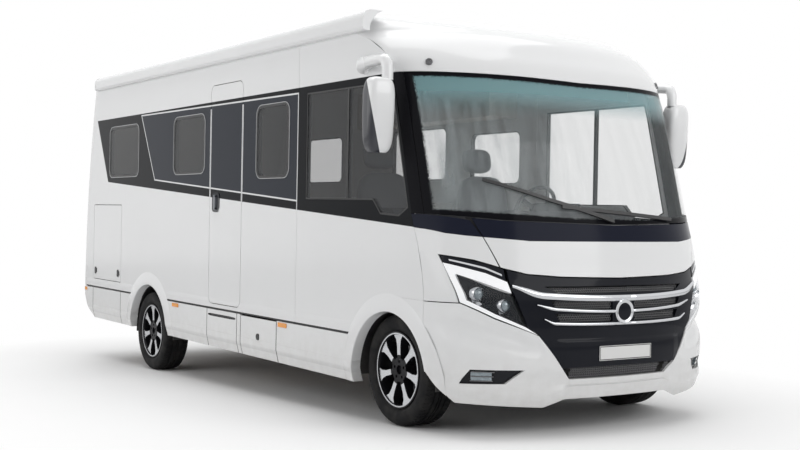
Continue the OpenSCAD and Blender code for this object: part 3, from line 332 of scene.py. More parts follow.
# Handle, locks and step cover: x, z, half width, half height and colour. Those behind x -4 m are
# on both sides, the others on the right.
FITTINGS = ((-2.616, 1.429, 0.071, 0.081, (0.035, 0.037, 0.042)),
            (-2.616, 1.429, 0.017, 0.063, (0.20, 0.21, 0.23)),
            (-5.510, 0.728, 0.031, 0.035, (0.012, 0.012, 0.013)),
            (-4.864, 0.728, 0.031, 0.035, (0.012, 0.012, 0.013)),
            (-5.510, 0.728, 0.012, 0.018, (0.06, 0.06, 0.065)),
            (-4.864, 0.728, 0.012, 0.018, (0.06, 0.06, 0.065)),
            (-1.817, 0.400, 0.025, 0.025, (0.02, 0.02, 0.022)),
            (-2.472, 0.504, 0.262, 0.011, (0.01, 0.01, 0.011)))
# Seams between the lower panels, as x.
JOINTS = (-5.590, -4.792, -2.756, -2.189, -2.120, -1.514)
SLATE = (0.036, 0.040, 0.050)
BAND_BLACK = (0.008, 0.009, 0.011)
PAINT_WHITE = (0.83, 0.835, 0.84)


def body_axes(finish):
    """x, y and z turned back from the nose-down stance into the body's own axes."""
    x, y, z = finish.place()
    x = x + MIDDLE_X
    return x * math.cos(RAKE) - z * math.sin(RAKE), y, x * math.sin(RAKE) + z * math.cos(RAKE)


def beside(x, z, one, two, soft=0.0016):
    """1 on the right of the line from one to two, seen along +y, and 0 on its left."""
    dx, dz = two[0] - one[0], two[1] - one[1]
    reach = math.hypot(dx, dz)
    side = (x - one[0]) * (dz / reach) - (z - one[1]) * (dx / reach)
    return side.step(0.0, soft)


def coach_paint(name, stripes=True):
    """Gloss white paint with the side's band, field and lines as masks over the body's axes."""
    finish = Finish(name, PAINT_WHITE, 0.16, Coat_Weight=0.6, Coat_Roughness=0.1, Specular_IOR_Level=0.05)
    x, y, z = body_axes(finish)
    inner_reach = 1.112 if stripes else 1.02
    outer = (y * y).step(inner_reach ** 2, 0.004)
    soft = finish.noise(0.9, 2.0)
    white = finish.mix(soft, PAINT_WHITE, tuple(0.965 * c for c in PAINT_WHITE))
    low = (0.62 - z).most(0.0) * 1.4
    white = finish.mix((low * finish.noise(14.0, 6.0)).least(0.35), white, (0.52, 0.50, 0.47))
    if stripes:
        band = outer * (BAND_TOP - z).step(0.0, 0.0016)
        band = band * (1.0 - beside(x, z, *BAND_REAR)) * (1.0 - beside(x, z, *BAND_FOOT))
        white = finish.mix(band, white, BAND_BLACK)
        frame_mask, field_mask = outer, outer
        for i in range(4):
            one, two = np.array(FIELD[i]), np.array(FIELD[(i + 1) % 4])
            way = (two - one) / np.linalg.norm(two - one)
            out = np.array([way[1], -way[0]])
            if np.dot(out, np.mean(FIELD, 0) - one) > 0:
                out = -out
            gap = (x - float(one[0])) * float(out[0]) + (z - float(one[1])) * float(out[1])
            field_mask = field_mask * (0.0 - gap).step(0.0, 0.0016)
            frame_mask = frame_mask * (LINE_W - gap).step(0.0, 0.0016)
        white = finish.mix(frame_mask, white, (0.78, 0.785, 0.79))
        white = finish.mix(field_mask, white, SLATE)
        finish.feed("Coat Weight", 0.6 - band * 0.58)
        for edge, wide, top in ((DOOR_EDGES[0], LINE_W, 2.2), (DOOR_EDGES[1], LINE_W, 2.2),
                                (-1.230, 0.006, 1.5)):
            bar = (wide - abs(x - edge)).step(0.0, 0.0016) * (top - z).step(0.0, 0.0016)
            white = finish.mix(bar * band * (0.0 - y).step(0.5, 0.1), white, (0.78, 0.785, 0.79))
        white = finish.mix(outer * (SILL_TRIM - z).step(0.0, 0.001), white, (0.02, 0.02, 0.022))
        ridge = (0.625 - z).step(0.0, 0.03) * 0.006
    else:
        for joint in JOINTS:
            line = (0.0042 - abs(x - joint)).step(0.0, 0.0016)
            white = finish.mix(line * outer * (0.0 - z).step(-0.556, 0.001), white, (0.03, 0.03, 0.032))
        rise = ((z - 0.338) * (1 / 0.038)) ** 2.0
        ridge = (1.0 - rise).most(0.0) * (0.2 - x).step(0.0, 0.1) * 0.010
    for lock_x, lock_z, wide, tall, colour in FITTINGS:
        off = ((x - lock_x) * (1 / wide)) ** 4.0 + ((z - lock_z) * (1 / tall)) ** 4.0
        on_side = (0.0 - y).step(-1.5 if lock_x < -4 else 0.5, 0.1)
        white = finish.mix((1.0 - off).step(0.0, 0.06) * outer * on_side, white, colour)
    finish.feed("Base Color", white)
    finish.feed("Roughness", (soft * 0.05 + 0.13) + (low * 0.2).least(0.2))
    finish.bump(finish.noise(260.0, 2.0) * 0.00008 + ridge * outer, 1.0)
    return finish


side_paint = coach_paint("side_paint")
plain_paint = coach_paint("plain_paint", stripes=False)
dress(side_paint, "side_wall_right", "side_wall_left", "cab_sides", "entry_door", "garage_door_right",
      "garage_door_left")
dress(plain_paint, "rear_wall", "roof", "skirts", "rear_bumper", "locker_flap", "arch_flares", "awning_case")

# Side windows.
# Double acrylic panes, smoked dark, hung in black frames; the cab's side panes are tinted glass.
pane = Finish("smoked_pane", (0.015, 0.018, 0.022), 0.04, Coat_Weight=0.5, Coat_Roughness=0.02,
              Specular_IOR_Level=0.3)
py = pane.place()[1]
pane.feed("Alpha", (0.0 - py).step(0.0, 0.1) * 0.27 + 0.08)
pane.mottle((0.012, 0.015, 0.018), (0.02, 0.024, 0.03), 2.0)
pane.grain(0.002, 1.6, 1.0)
dress(pane, "windows", "cab_glass")
frame_gum = Finish("frame_gum", (0.015, 0.015, 0.016), 0.38)
frame_gum.grain(0.0003, 300.0, 3.0)
dress(frame_gum, "window_frames")


def grid_faces(rows, columns, start=0, turn=False, around=False):
    """Quads of a grid of points: row i, column j is point start + i * columns + j."""
    i, j = np.meshgrid(np.arange(rows - 1), np.arange(columns if around else columns - 1), indexing="ij")
    n = (j + 1) % columns
    quads = np.stack([i * columns + j, (i + 1) * columns + j, (i + 1) * columns + n, i * columns + n], -1)
    quads = quads.reshape(-1, 4) + start
    return quads[:, ::-1] if turn else quads


def ring_outline(x0, z0, w, h, r, grow, n=12):
    """Closed outline of a rounded rectangle of (x, z), grown by a margin on every side."""
    x0, z0, w, h, r = x0 - grow, z0 - grow, w + 2 * grow, h + 2 * grow, max(r + grow, 0.001)
    t = np.linspace(0, np.pi / 2, n)
    corners = ((x0 + w - r, z0 + h - r, 0), (x0 + r, z0 + h - r, 1),
               (x0 + r, z0 + r, 2), (x0 + w - r, z0 + r, 3))
    return np.concatenate([np.stack([cx + r * np.cos(t + k * np.pi / 2),
                                     cz + r * np.sin(t + k * np.pi / 2)], -1) for cx, cz, k in corners])


def leaned(p):
    """Body axes turned nose-down by the rake and put over the middle of the length."""
    p = np.asarray(p, float)
    x = p[..., 0] * math.cos(RAKE) + p[..., 2] * math.sin(RAKE) - MIDDLE_X
    z = p[..., 2] * math.cos(RAKE) - p[..., 0] * math.sin(RAKE)
    return np.stack([x, p[..., 1], z], -1)


def flat_ring(name, shape, grows, y, thick, side=-1):
    """A flat frame in a side's plane between two growths of a rounded rectangle."""
    loops = []
    for grow, dy in ((grows[0], 0), (grows[1], 0), (grows[1], thick), (grows[0], thick)):
        x, z = ring_outline(*shape, grow).T
        loops.append(leaned(np.stack([x, np.full(len(x), side * (y + dy)), z], -1)))
    n = len(loops[0])
    faces = grid_faces(4, n, around=True).tolist()
    faces += [[3 * n + j, j, (j + 1) % n, 3 * n + (j + 1) % n] for j in range(n)]
    return new_mesh(name, np.concatenate(loops), faces, 30)


# Windows and door seals: x and z of their lower rear corner, width, height and corner radius.
RIGHT_WINDOWS = ((-5.140, 1.681, 0.770, 0.480, 0.070), (-3.508, 1.680, 0.648, 0.485, 0.070),
                 (-1.883, 1.622, 0.516, 0.540, 0.070))
LEFT_WINDOWS = ((-5.140, 1.681, 0.770, 0.480, 0.070), (-3.400, 1.680, 0.900, 0.485, 0.070),
                (-2.126, 1.632, 0.692, 0.452, 0.070))
trim_paint = Finish("window_trim", (0.55, 0.56, 0.57), 0.3)
trim_paint.grain(0.0001, 300.0, 2.0)
for side, tag, shapes in ((-1, "right", RIGHT_WINDOWS), (1, "left", LEFT_WINDOWS)):
    for k, shape in enumerate(shapes):
        trim = flat_ring("window_trim_%s_%d" % (tag, k + 1), shape, (0.0085, 0.0125), 1.1352, 0.0036, side)
        dress(trim_paint, trim)
        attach(trim, "body")

# Rubber seals.
# Black seals on the inner faces of the walls, which close the gaps round the doors and flaps.
seal_rubber = Finish("seal_rubber", (0.01, 0.01, 0.011), 0.7)
seal_rubber.grain(0.0004, 200.0, 3.0)
SEALS = (("entry_seal", -1, (-2.734, 0.600, 0.592, 1.788, 0.060)),
         ("garage_seal_right", -1, (-5.584, 0.646, 0.786, 0.750, 0.016)),
         ("garage_seal_left", 1, (-5.584, 0.646, 0.786, 0.750, 0.016)))
for name, side, shape in SEALS:
    seal = flat_ring(name, shape, (-0.016, 0.026), 1.094, 0.003, side)
    dress(seal_rubber, seal)
    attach(seal, "body")


# The moulded front: brow, windscreen, pillars, hood, lamp surround and bumper.
# Glass-fibre mouldings that share one curved surface. Its outline in the middle and where it
# meets the sides is a table over the height, and the plan view is a rounded square curve.
HALF_W = 1.135
SKIN = 0.016
SKIRT_Z, CREASE_Z, CANT_Z, ROOF_R = 0.238, 0.330, 2.560, 0.140
# Exponents of the plan view's rounded square, across and along the vehicle.
PLAN_Y, PLAN_X = 2.6, 0.6
# Heights, and at each of them x of the nose, set back from its foremost point, and of the corner,
# set back from the nose.
FRONT_Z = np.array([200, 260, 380, 450, 530, 700, 890, 990, 1190, 1320, 1777.5, 2235, 2325, 2400, 2500, 2560,
                    2630, 2700]) / 1000
NOSE_X = 0.972 - np.array([67, 52, 37, 7, 0, 14, 22, 57, 90, 117, 272, 472, 510, 562, 640, 732, 952,
                           1422]) / 1000
CORNER_X = NOSE_X - np.array([485, 503, 523, 555, 564, 554, 550, 530, 557, 588, 550, 480, 487, 500, 602, 690,
                              470, 0]) / 1000


def smooth_table(x, y):
    """A curve through a table that never overshoots: cubic pieces whose slope at each point is the
    harmonic mean of its neighbours' slopes, or zero where they change sign."""
    step = np.diff(x)
    slope = np.diff(y) / step
    both = slope[:-1] * slope[1:]
    w1, w2 = 2 * step[1:] + step[:-1], step[1:] + 2 * step[:-1]
    inner = np.where(both > 0, (w1 + w2) * both / np.where(both > 0, w1 * slope[1:] + w2 * slope[:-1], 1), 0)
    tangent = np.concatenate([[slope[0]], inner, [slope[-1]]])

    def curve(at):
        at = np.clip(at, x[0], x[-1])
        i = np.clip(np.searchsorted(x, at) - 1, 0, len(step) - 1)
        t = (at - x[i]) / step[i]
        return ((1 + 2 * t) * (1 - t) ** 2 * y[i] + t * (1 - t) ** 2 * step[i] * tangent[i]
                + t * t * (3 - 2 * t) * y[i + 1] + t * t * (t - 1) * step[i] * tangent[i + 1])

    return curve


nose_line = smooth_table(FRONT_Z, NOSE_X)
corner_line = smooth_table(FRONT_Z, CORNER_X)


def half_width(z):
    """Half the body's width: it tucks in below the skirt's crease and rounds into the roof."""
    tuck = HALF_W - 0.022 * (CREASE_Z - z) / (CREASE_Z - SKIRT_Z)
    roof = HALF_W - ROOF_R + np.sqrt(np.maximum(ROOF_R ** 2 - (z - CANT_Z) ** 2, 0))
    return np.where(z < CREASE_Z, tuck, np.where(z <= CANT_Z, HALF_W, roof))


def front_x(y, z):
    """x of the front: from the corner's x out to the nose's by (1 - r ** PLAN_Y) ** PLAN_X, with r
    the share of the half width."""
    r = np.minimum(np.abs(y) / half_width(z), 1)
    c = corner_line(z)
    return c + (nose_line(z) - c) * (1 - r ** PLAN_Y) ** PLAN_X


def on_front(y, z, proud=0.0):
    """Points of the front, moved out along its normal, in the row's axes."""
    y, z, proud = np.broadcast_arrays(np.asarray(y, float), np.asarray(z, float), np.asarray(proud, float))
    h = 0.0005
    w = half_width(z)
    at = np.clip(y, h - w, w - h)
    fy = (front_x(at + h, z) - front_x(at - h, z)) / (2 * h)
    fz = (front_x(at, z + 0.01) - front_x(at, z - 0.01)) / 0.02
    n = np.stack([np.ones_like(fy), -fy, -fz], -1)
    n /= np.linalg.norm(n, axis=-1, keepdims=True)
    return leaned(np.stack([front_x(y, z), y, z], -1) + proud[..., None] * n)


def shell(name, outer, inner, sharp=35):
    """A closed panel between two grids of points with the same rows and columns."""
    r, c = outer.shape[:2]
    o = r * c
    faces = [grid_faces(r, c), grid_faces(r, c, o, turn=True)]
    j, i = np.arange(c - 1), np.arange(r - 1)
    last = (r - 1) * c
    faces += [np.stack([j, j + 1, o + j + 1, o + j], -1),
              np.stack([last + j + 1, last + j, o + last + j, o + last + j + 1], -1),
              np.stack([(i + 1) * c, i * c, o + i * c, o + (i + 1) * c], -1),
              np.stack([i * c + c - 1, (i + 1) * c + c - 1, o + (i + 1) * c + c - 1, o + i * c + c - 1], -1)]
    return new_mesh(name, np.concatenate([outer.reshape(-1, 3), inner.reshape(-1, 3)]),
                    np.concatenate(faces)[:, ::-1], sharp)


def along(line, n):
    """n + 1 points spread evenly over the length of a polyline of (y, z)."""
    line = np.asarray(line, float)
    reach = np.concatenate([[0], np.cumsum(np.linalg.norm(np.diff(line, axis=0), axis=1))])
    at = np.union1d(np.linspace(0, reach[-1], n + 1 - (len(line) - 2)), reach)
    return np.stack([np.interp(at, reach, line[:, k]) for k in range(2)], -1)


def patch(name, a, b, rows, columns, thick, proud=0.0):
    """A panel on the front between two polylines: both run to -y with a below b, or upwards with a
    outside. A point is a * (1 - u) + b * u, laid on the front by on_front."""
    a, b = along(a, rows), along(b, rows)
    n = min(len(a), len(b))
    t = np.linspace(0, 1, n)
    a, b = [np.stack([np.interp(t, np.linspace(0, 1, len(p)), p[:, k]) for k in range(2)], -1) for p in (a, b)]
    u = np.linspace(0, 1, columns + 1)[None, :, None]
    q = a[:, None] * (1 - u) + b[:, None] * u
    return shell(name, on_front(q[..., 0], q[..., 1], proud), on_front(q[..., 0], q[..., 1], proud - thick))


def prism(outline, low, high, along_x=True):
    """A cutter with an outline of (y, z) drawn out along x, or of (x, z) drawn out along y."""
    outline = np.asarray(outline, float)
    n = len(outline)
    u, v = outline.T
    points = np.concatenate([np.stack((np.full(n, end), u, v) if along_x else (u, np.full(n, end), v), -1)
                             for end in (low, high)])
    faces = [list(range(n)), list(range(n, 2 * n))]
    faces += [[i, (i + 1) % n, n + (i + 1) % n, n + i] for i in range(n)]
    return new_mesh("cutter", leaned(points), faces)


def cut_out(piece, *cutters):
    """Cuts the cutters out of a piece and removes them."""
    for cutter in cutters:
        cut = piece.modifiers.new("cut", "BOOLEAN")
        cut.operation = "DIFFERENCE"
        cut.object = cutter
        cut.solver = "EXACT"
        bpy.context.view_layer.objects.active = piece
        with bpy.context.temp_override(object=piece, active_object=piece, selected_objects=[piece]):
            bpy.ops.object.modifier_apply(modifier="cut")
        bpy.data.objects.remove(cutter)
    piece.data.polygons.foreach_set("use_smooth", np.ones(len(piece.data.polygons), bool))
    piece.data.set_sharp_from_angle(angle=math.radians(35))


def bumper_relief(y, u):
    """How far the bumper stands out over |y| and its courses u: 14 mm at its lip at u = 1, nothing
    above it, and a scoop 46 mm deep between u = 2 and its top."""
    near = np.clip((y - HALF_W + 0.56) / 0.15, 0, 1) * np.clip((HALF_W - 0.01 - y) / 0.08, 0, 1)
    side = np.clip((HALF_W - 0.035 - y) / 0.08, 0, 1)
    lip = side * np.where(u < 1, 0.014 * u, 0.014 * np.clip(1 - 3 * (u - 1), 0, 1))
    return np.where(u < 2, lip, -0.046 * near * np.sin(np.pi * np.maximum(u - 2, 0) ** 1.5) ** 2)


def band(name, edges, widths, rows, across, thick, proud=0.0, relief=None, kinks=None):
    """A panel right across the front. Its edges are tables of z over |y| from the bottom up, with
    rows between two of them; widths is the half width over the share of the height."""
    edges = [np.asarray(e, float) / 1000 for e in edges]
    n = len(edges) - 1
    course = np.linspace(0, n, n * rows + 1)[:, None]
    if kinks is None:
        share = np.sin(np.linspace(-np.pi / 2, np.pi / 2, 2 * across + 1))
    else:
        half = along(np.array([[k, 0] for k in kinks]) / (1000 * HALF_W), across)[:, 0]
        share = np.concatenate([-half[:0:-1], half])
    wide = np.interp(course / n, *zip(*widths)) * share[None]
    k = np.minimum(course.astype(int), n - 1)
    t = course - k
    tables = np.stack([np.interp(np.abs(wide), e[:, 0], e[:, 1]) for e in edges])
    low = np.take_along_axis(tables, np.broadcast_to(k, wide.shape)[None], 0)[0]
    high = np.take_along_axis(tables, np.broadcast_to(k + 1, wide.shape)[None], 0)[0]
    z = low + (high - low) * t
    y = wide * np.minimum(1, half_width(z) / HALF_W)
    off = proud + (0 if relief is None else relief(np.abs(wide), np.broadcast_to(course, wide.shape)))
    return shell(name, on_front(y, z, off), on_front(y, z, off - thick))


def inset(*points):
    """Points of (y, z) on the right, from their millimetres in from the side and their z."""
    return [[d / 1000 - HALF_W, z] for d, z in points]


# Edges of the mouldings as tables of |y| and z in millimetres, and the bumper's four courses.
SCREEN_BOTTOM = [[0, 1320], [767, 1338], [1110, 1366], [1135, 1368]]
SCREEN_TOP = [[0, 2235], [464, 2244], [882, 2250], [1110, 2256], [1135, 2258]]
HOOD_BOTTOM = [[0, 990], [452, 1000], [673, 1016], [823, 1053]]
BUMPER_ROWS = [[[0, 255], [430, 256], [574, 208], [1034, 235], [1135, 241]],
               [[0, 332], [391, 336], [563, 289], [804, 295], [1036, 316], [1135, 330]],
               [[0, 356], [404, 358], [474, 412], [659, 469], [917, 517], [1116, 555], [1135, 558]],
               [[0, 374], [404, 376], [474, 446], [627, 645], [871, 744], [1028, 832], [1135, 832]]]


def lifted(edge, dz):
    """An edge's table moved up by dz."""
    return [[y, z + dz] for y, z in edge]


FULL = [(0, HALF_W), (1, HALF_W)]
brow = band("brow", [lifted(SCREEN_TOP, 3), [[0, 2700], [1135, 2700]]], FULL, 48, 40, SKIN)
bonnet = band("bonnet", [HOOD_BOTTOM, lifted(SCREEN_BOTTOM, -8)], [(0, 0.820), (1, 0.932)], 24, 32, SKIN)
nose_skirt = band("nose_skirt", BUMPER_ROWS, FULL, 12, 40, SKIN, relief=bumper_relief,
                  kinks=[0, 404, 474, 574, 627, 871, 1028, 1135])
FOG = inset((336, 0.357), (106, 0.355), (150, 0.442), (430, 0.442))
# Outline of (x, z) ahead of the front wheels that the bumper and the front flares leave free.
SWEEP = [(0.30, 0.41), (0.445, 0.41), (0.47, 0.385), (0.60, 0.232), (0.60, 0.10), (0.30, 0.10)]
# Wheel arches: x and z of their centre and their radius.
ARCHES = {"front": (0.0129, 0.303, 0.434), "rear": (-4.0641, 0.214, 0.450)}
arch_x, arch_z, arch_r = ARCHES["front"]
t = np.linspace(0, 2 * np.pi, 96, endpoint=False)
arch_hole = np.stack([arch_x + (arch_r + 0.0105) * np.cos(t), arch_z + (arch_r + 0.0105) * np.sin(t)], -1)
cut_out(nose_skirt, *[prism(SWEEP, low, low + 0.4, False) for low in (-1.3, 0.9)],
        *[prism([[side * y, z] for y, z in FOG], 0.3, 1.2) for side in (1, -1)],
        prism(arch_hole, -1.3, 1.3, False))
dress(plain_paint, brow, nose_skirt)
COWL_EDGE = inset((240, 1.231), (160, 1.238), (80, 1.250), (0, 1.279))
SIDES = ((1, "right"), (-1, "left"))


def to_side(side, *pieces):
    """Flips what is drawn on the right over to the left for side -1, with its faces outwards again."""
    if side == -1:
        for piece in pieces:
            piece.data.transform(Matrix.Diagonal((1, -1, 1, 1)))
            piece.data.flip_normals()


corners = []
for side, tag in SIDES:
    pieces = [patch("lamp_corner_" + tag, inset((0, 0.838), (0, 1.134)), inset((100, 0.838), (42, 1.125)),
                    16, 10, SKIN),
              patch("cowl_corner_" + tag, inset((306, 1.056), (185, 1.096), (42, 1.124), (0, 1.132)),
                    COWL_EDGE, 14, 8, SKIN),
              patch("cowl_black_" + tag, lifted(COWL_EDGE, 0.002),
                    inset((193, 1.330), (137, 1.344), (27, 1.362), (0, 1.364)), 12, 6, SKIN),
              patch("pillar_" + tag, inset((0, 1.367), (0, 2.257)), inset((23, 1.366), (23, 2.255)),
                    40, 3, SKIN)]
    to_side(side, *pieces)
    corners.append(pieces)
gloss_black = Finish("gloss_black", (0.008, 0.009, 0.012), 0.14, Coat_Weight=0.10, Coat_Roughness=0.03,
                     Specular_IOR_Level=0.08)
gloss_black.mottle((0.007, 0.008, 0.012), (0.012, 0.013, 0.018), 2.0)
gloss_black.grain(0.00006, 220.0, 2.0)
pillar_black = Finish("pillar_black", (0.01, 0.01, 0.012), 0.5, Specular_IOR_Level=0.03)
pillar_black.grain(0.0001, 240.0, 2.0)
cowl_black = Finish("cowl_black", (0.010, 0.012, 0.024), 0.3, Specular_IOR_Level=0.08)
cowl_black.grain(0.00008, 240.0, 2.0)
for pieces in corners:
    dress(plain_paint, *pieces[:2])
    dress(cowl_black, pieces[2])
    dress(pillar_black, pieces[3])
bonnet_paint = Finish("bonnet_paint", PAINT_WHITE, 0.15, Coat_Weight=0.6, Coat_Roughness=0.1,
                      Specular_IOR_Level=0.06)
_, by, bz = body_axes(bonnet_paint)
wing = abs(by)
cowl = (bz - (1.211 + (wing - 0.638).most(0.0) * 0.077)).step(0.0, 0.0016)
bonnet_paint.feed("Base Color", bonnet_paint.mix(cowl, bonnet_paint.mix(
    bonnet_paint.noise(0.9, 2.0), PAINT_WHITE, tuple(0.97 * c for c in PAINT_WHITE)), (0.010, 0.012, 0.024)))
bonnet_paint.grain(0.00008, 260.0, 2.0)
bonnet_paint.feed("Coat Weight", 0.6 - cowl * 0.58)
dress(bonnet_paint, bonnet)
for side, tag in SIDES:
    hood_seal = patch("hood_seal_" + tag, [[-0.800, 1.05], [-0.915, 1.352]],
                      [[-0.850, 1.05], [-0.963, 1.352]], 20, 2, 0.004, -0.018)
    to_side(side, hood_seal)
    dress(seal_rubber, hood_seal)
    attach(hood_seal, "body")
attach(bonnet, "hood")
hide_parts("hood")
for piece, node in ((brow, "front_cap"), (nose_skirt, "bumper")):
    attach(piece, "body")
    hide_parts(node)
for pieces in corners:
    for i, piece in enumerate(pieces):
        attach(piece, "body")
        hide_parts("front_mask" if i < 2 else "pillars")

# The windscreen.
# One large laminated pane, bonded in, with a black printed border that fades out in dots and
# a faint blue-green tint. A milky grey haze over it, streaky and stronger towards the right edge,
# is a painted reflection of the sky.
screen = band("screen", [SCREEN_BOTTOM, SCREEN_TOP], [(0, 1.110), (1, 1.110)], 40, 40, 0.008)
glass = Finish("screen_glass", (0.30, 0.33, 0.34), 0.03, Coat_Weight=1.0, Coat_Roughness=0.01,
               Specular_IOR_Level=0.03)
_, gy, gz = body_axes(glass)
wing = abs(gy)
foot = 1.320 + (wing - 0.30).most(0.0) * 0.054
rim_gap = (gz - foot).least(2.236 + wing * 0.019 - gz).least(1.110 - wing)
border = (0.028 - rim_gap).step(0.0, 0.004)
dots = glass.node("TexVoronoi", {"feature": "F1"}, glass.node("TexCoord", {}, out=3), None, 130.0)
fade = ((0.045 - rim_gap) * 60.0).least(1.0).most(0.0)
border = border.most((fade * 0.62 - dots).step(0.03, 0.05))
shade = (gz - 2.06).step(0.0, 0.16)
# Painted sky reflection: a grey haze in streaks over the whole pane, with more of it towards the right edge.
haze_streaks = glass.noise(3.0, 3.0, (1, 3, 0.35)).step(0.5, 0.3)
painted_haze = (0.0 - gy).step(0.55, 0.9) * (glass.noise(5.0, 4.0, (1, 3, 0.3)).step(0.5, 0.35) * 0.34 + 0.06)
tint_and_painted_haze = (haze_streaks * 0.03 + 0.08 + painted_haze).most(shade * 0.5)
# The pane's colour is the grey of the painted sky reflection, and teal in the shade band at the top.
sky_sheen_and_band = glass.mix(shade, (0.36, 0.40, 0.41), (0.25, 0.46, 0.49))
glass.feed("Base Color", glass.mix(border, sky_sheen_and_band, (0.006, 0.006, 0.008)))
glass.feed("Alpha", border.most(tint_and_painted_haze))
glass.feed("Coat Weight", 0.9 - border * 0.9)
dress(glass, screen)
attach(screen, "body")
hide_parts("windscreen")

# Arch flares.
# Moulded white flares round the wheel arches with a rounded return lip.
def side_y(x, z):
    """Half width of the body over x and z. From the corner line to the nose line s runs from 0 to 1
    and the half width falls as front_x, solved for y, says."""
    c = corner_line(z)
    s = np.clip((x - c) / (nose_line(z) - c), 0, 1)
    return half_width(z) * (1 - s ** (1 / PLAN_X)) ** (1 / PLAN_Y)


# Profile of a flare in millimetres: distance out from the arch's edge, and how far it stands out.
FLARE = np.array([(118, -1.4), (104, 1.6), (90, 4.2), (74, 6.2), (58, 8.0), (42, 9.4), (26, 10.4), (10, 11),
                  (3, 9.6), (0.6, 6.5), (0, 3), (0, -64), (10, -64), (10, 0.8)]) / 1000
for wheel, (ax, az, ar) in ARCHES.items():
    for side, tag in SIDES:
        low = math.asin((SKIRT_Z - az) / ar)
        angle = np.linspace(low, np.pi - low, 97)[:, None]
        x = ax + (ar + FLARE[:, 0]) * np.cos(angle)
        z = np.maximum(az + (ar + FLARE[:, 0]) * np.sin(angle), SKIRT_Z)
        y = -side_y(x - 0.008, z) - FLARE[:, 1] - 0.001
        grid = leaned(np.stack([x, y, z], -1))
        m = len(FLARE)
        faces = grid_faces(97, m, around=True).tolist() + [list(range(m)), list(range(96 * m, 97 * m))]
        flare = new_mesh("arch_flare_%s_%s" % (wheel, tag), grid, faces, 40)
        if wheel == "front":
            cut_out(flare, prism(SWEEP, -1.3, -0.9, False))
        to_side(side, flare)
        dress(plain_paint, flare)
        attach(flare, "body")
        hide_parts("arch_flares")


# Grille, badge and number plate.
# A gloss black moulding with a slit and two rows of openings behind which honeycomb mesh sits,
# three chromed bars, a bare round badge with a chromed ring, and a bare plate. The panel's half
# width is a table over the share of its height.
GRILLE_W = [(0, 0.473), (0.36, 0.622), (0.44, 0.688), (0.8, 0.775), (1, 0.789)]


def plate_ledge(y, u):
    """The part of the panel that carries the plate stands out below a short ledge."""
    return 0.008 * np.clip((0.315 - u) / 0.02, 0, 1) * np.clip((0.52 - y) / 0.06, 0, 1)


face = band("grille_face", [[[0, 452], [1135, 452]], lifted(HOOD_BOTTOM, -8)], GRILLE_W, 80, 60, 0.034, -0.004,
            plate_ledge)
OPENINGS = [[(-0.582, 0.940), (-0.494, 0.900), (0.494, 0.900), (0.582, 0.940)]]
for half, low, high in ((0.515, 0.798, 0.846), (0.490, 0.722, 0.770)):
    for s in (-1, 1):
        OPENINGS.append([(s * 0.092, low), (s * 0.092, high), (s * (half + 0.03), high + 0.008),
                         (s * half, low + 0.008)])


cut_out(face, *[prism(outline, 0.4, 1.2) for outline in OPENINGS])
dress(gloss_black, face)


def honeycomb(name, fields, pitch, wall, back, depth):
    """Closed six-sided rings on a staggered grid of (y, z), laid on the front back metres behind it."""
    centres = []
    for outline in fields:
        y0, z0 = np.min(outline, 0)
        y1, z1 = np.max(outline, 0)
        row = pitch * math.sqrt(3) / 2
        i, j = np.indices((int((z1 - z0) / row) + 1, int((y1 - y0) / pitch) + 1))
        centres.append(np.stack([y0 + (j + 0.5 * (i % 2)) * pitch, z0 + i * row], -1).reshape(-1, 2))
    centres = np.concatenate(centres)
    angle = np.radians(np.arange(6) * 60 + 30)
    hexagon = np.stack([np.cos(angle), np.sin(angle)], -1)
    rings = [centres[:, None] + hexagon * r / math.sqrt(3) for r in (pitch * 0.999, pitch - wall)]
    points = np.stack([on_front(ring[..., 0], ring[..., 1], -back - d)
                       for d in (0, depth) for ring in rings], 1)
    j = np.arange(6)
    n = (j + 1) % 6
    one = np.concatenate([np.stack([a + j, a + n, b + n, b + j], -1)
                          for a, b in ((0, 6), (6, 18), (18, 12), (12, 0))])
    faces = (one[None] + 24 * np.arange(len(centres))[:, None, None]).reshape(-1, 4)
    return new_mesh(name, points.reshape(-1, 3), faces, 10)


mesh_fields = [[(-0.56, 0.902), (0.56, 0.938)]] + [
    [(s * 0.10, low), (s * half, high)] for half, low, high in ((0.515, 0.800, 0.848), (0.490, 0.724, 0.772))
    for s in (-1, 1)]
upper_mesh = honeycomb("grille_mesh", mesh_fields, 0.0165, 0.0035, 0.018, 0.008)
lower_fields = [[(low, 0.381), (high, 0.448)]
                for low, high in ((-0.400, -0.338), (-0.338, 0.338), (0.404, 0.430))]
mesh_gum = Finish("mesh_plastic", (0.12, 0.12, 0.125), 0.4)
mesh_gum.grain(0.0003, 500.0, 2.0)
chrome = Finish("chrome", (0.62, 0.63, 0.65), 0.1, Metallic=1.0)
chrome.feed("Roughness", chrome.noise(35.0, 4.0) * 0.1 + 0.07)
chrome.grain(0.00003, 600.0, 2.0)
dress(mesh_gum, upper_mesh)


def half_round(name, line, height, stand, columns=8):
    """A bar with a rounded face along a polyline of (y, z) on the front, tapering at both ends: its
    crown falls with the square of the height, and it is set back where the badge sits on it."""
    fine = np.linspace(line[0, 0], line[-1, 0], 91)
    line = np.stack([fine, smooth_table(line[::-1, 0], line[::-1, 1])(fine)], -1)
    across = np.linspace(-1, 1, columns + 1)
    taper = np.interp(np.arange(len(line)), [0, 6, len(line) - 7, len(line) - 1], [0.5, 1, 1, 0.5])[:, None]
    z = line[:, 1:] + across * taper * height / 2
    y = np.broadcast_to(line[:, :1], z.shape)
    crown = 0.0115 - stand * across ** 2 - 0.006 * np.clip((0.085 - np.abs(line[:, :1])) / 0.015, 0, 1)
    return shell(name, on_front(y, z, crown), on_front(y, z, -0.003 + 0 * crown), 50)


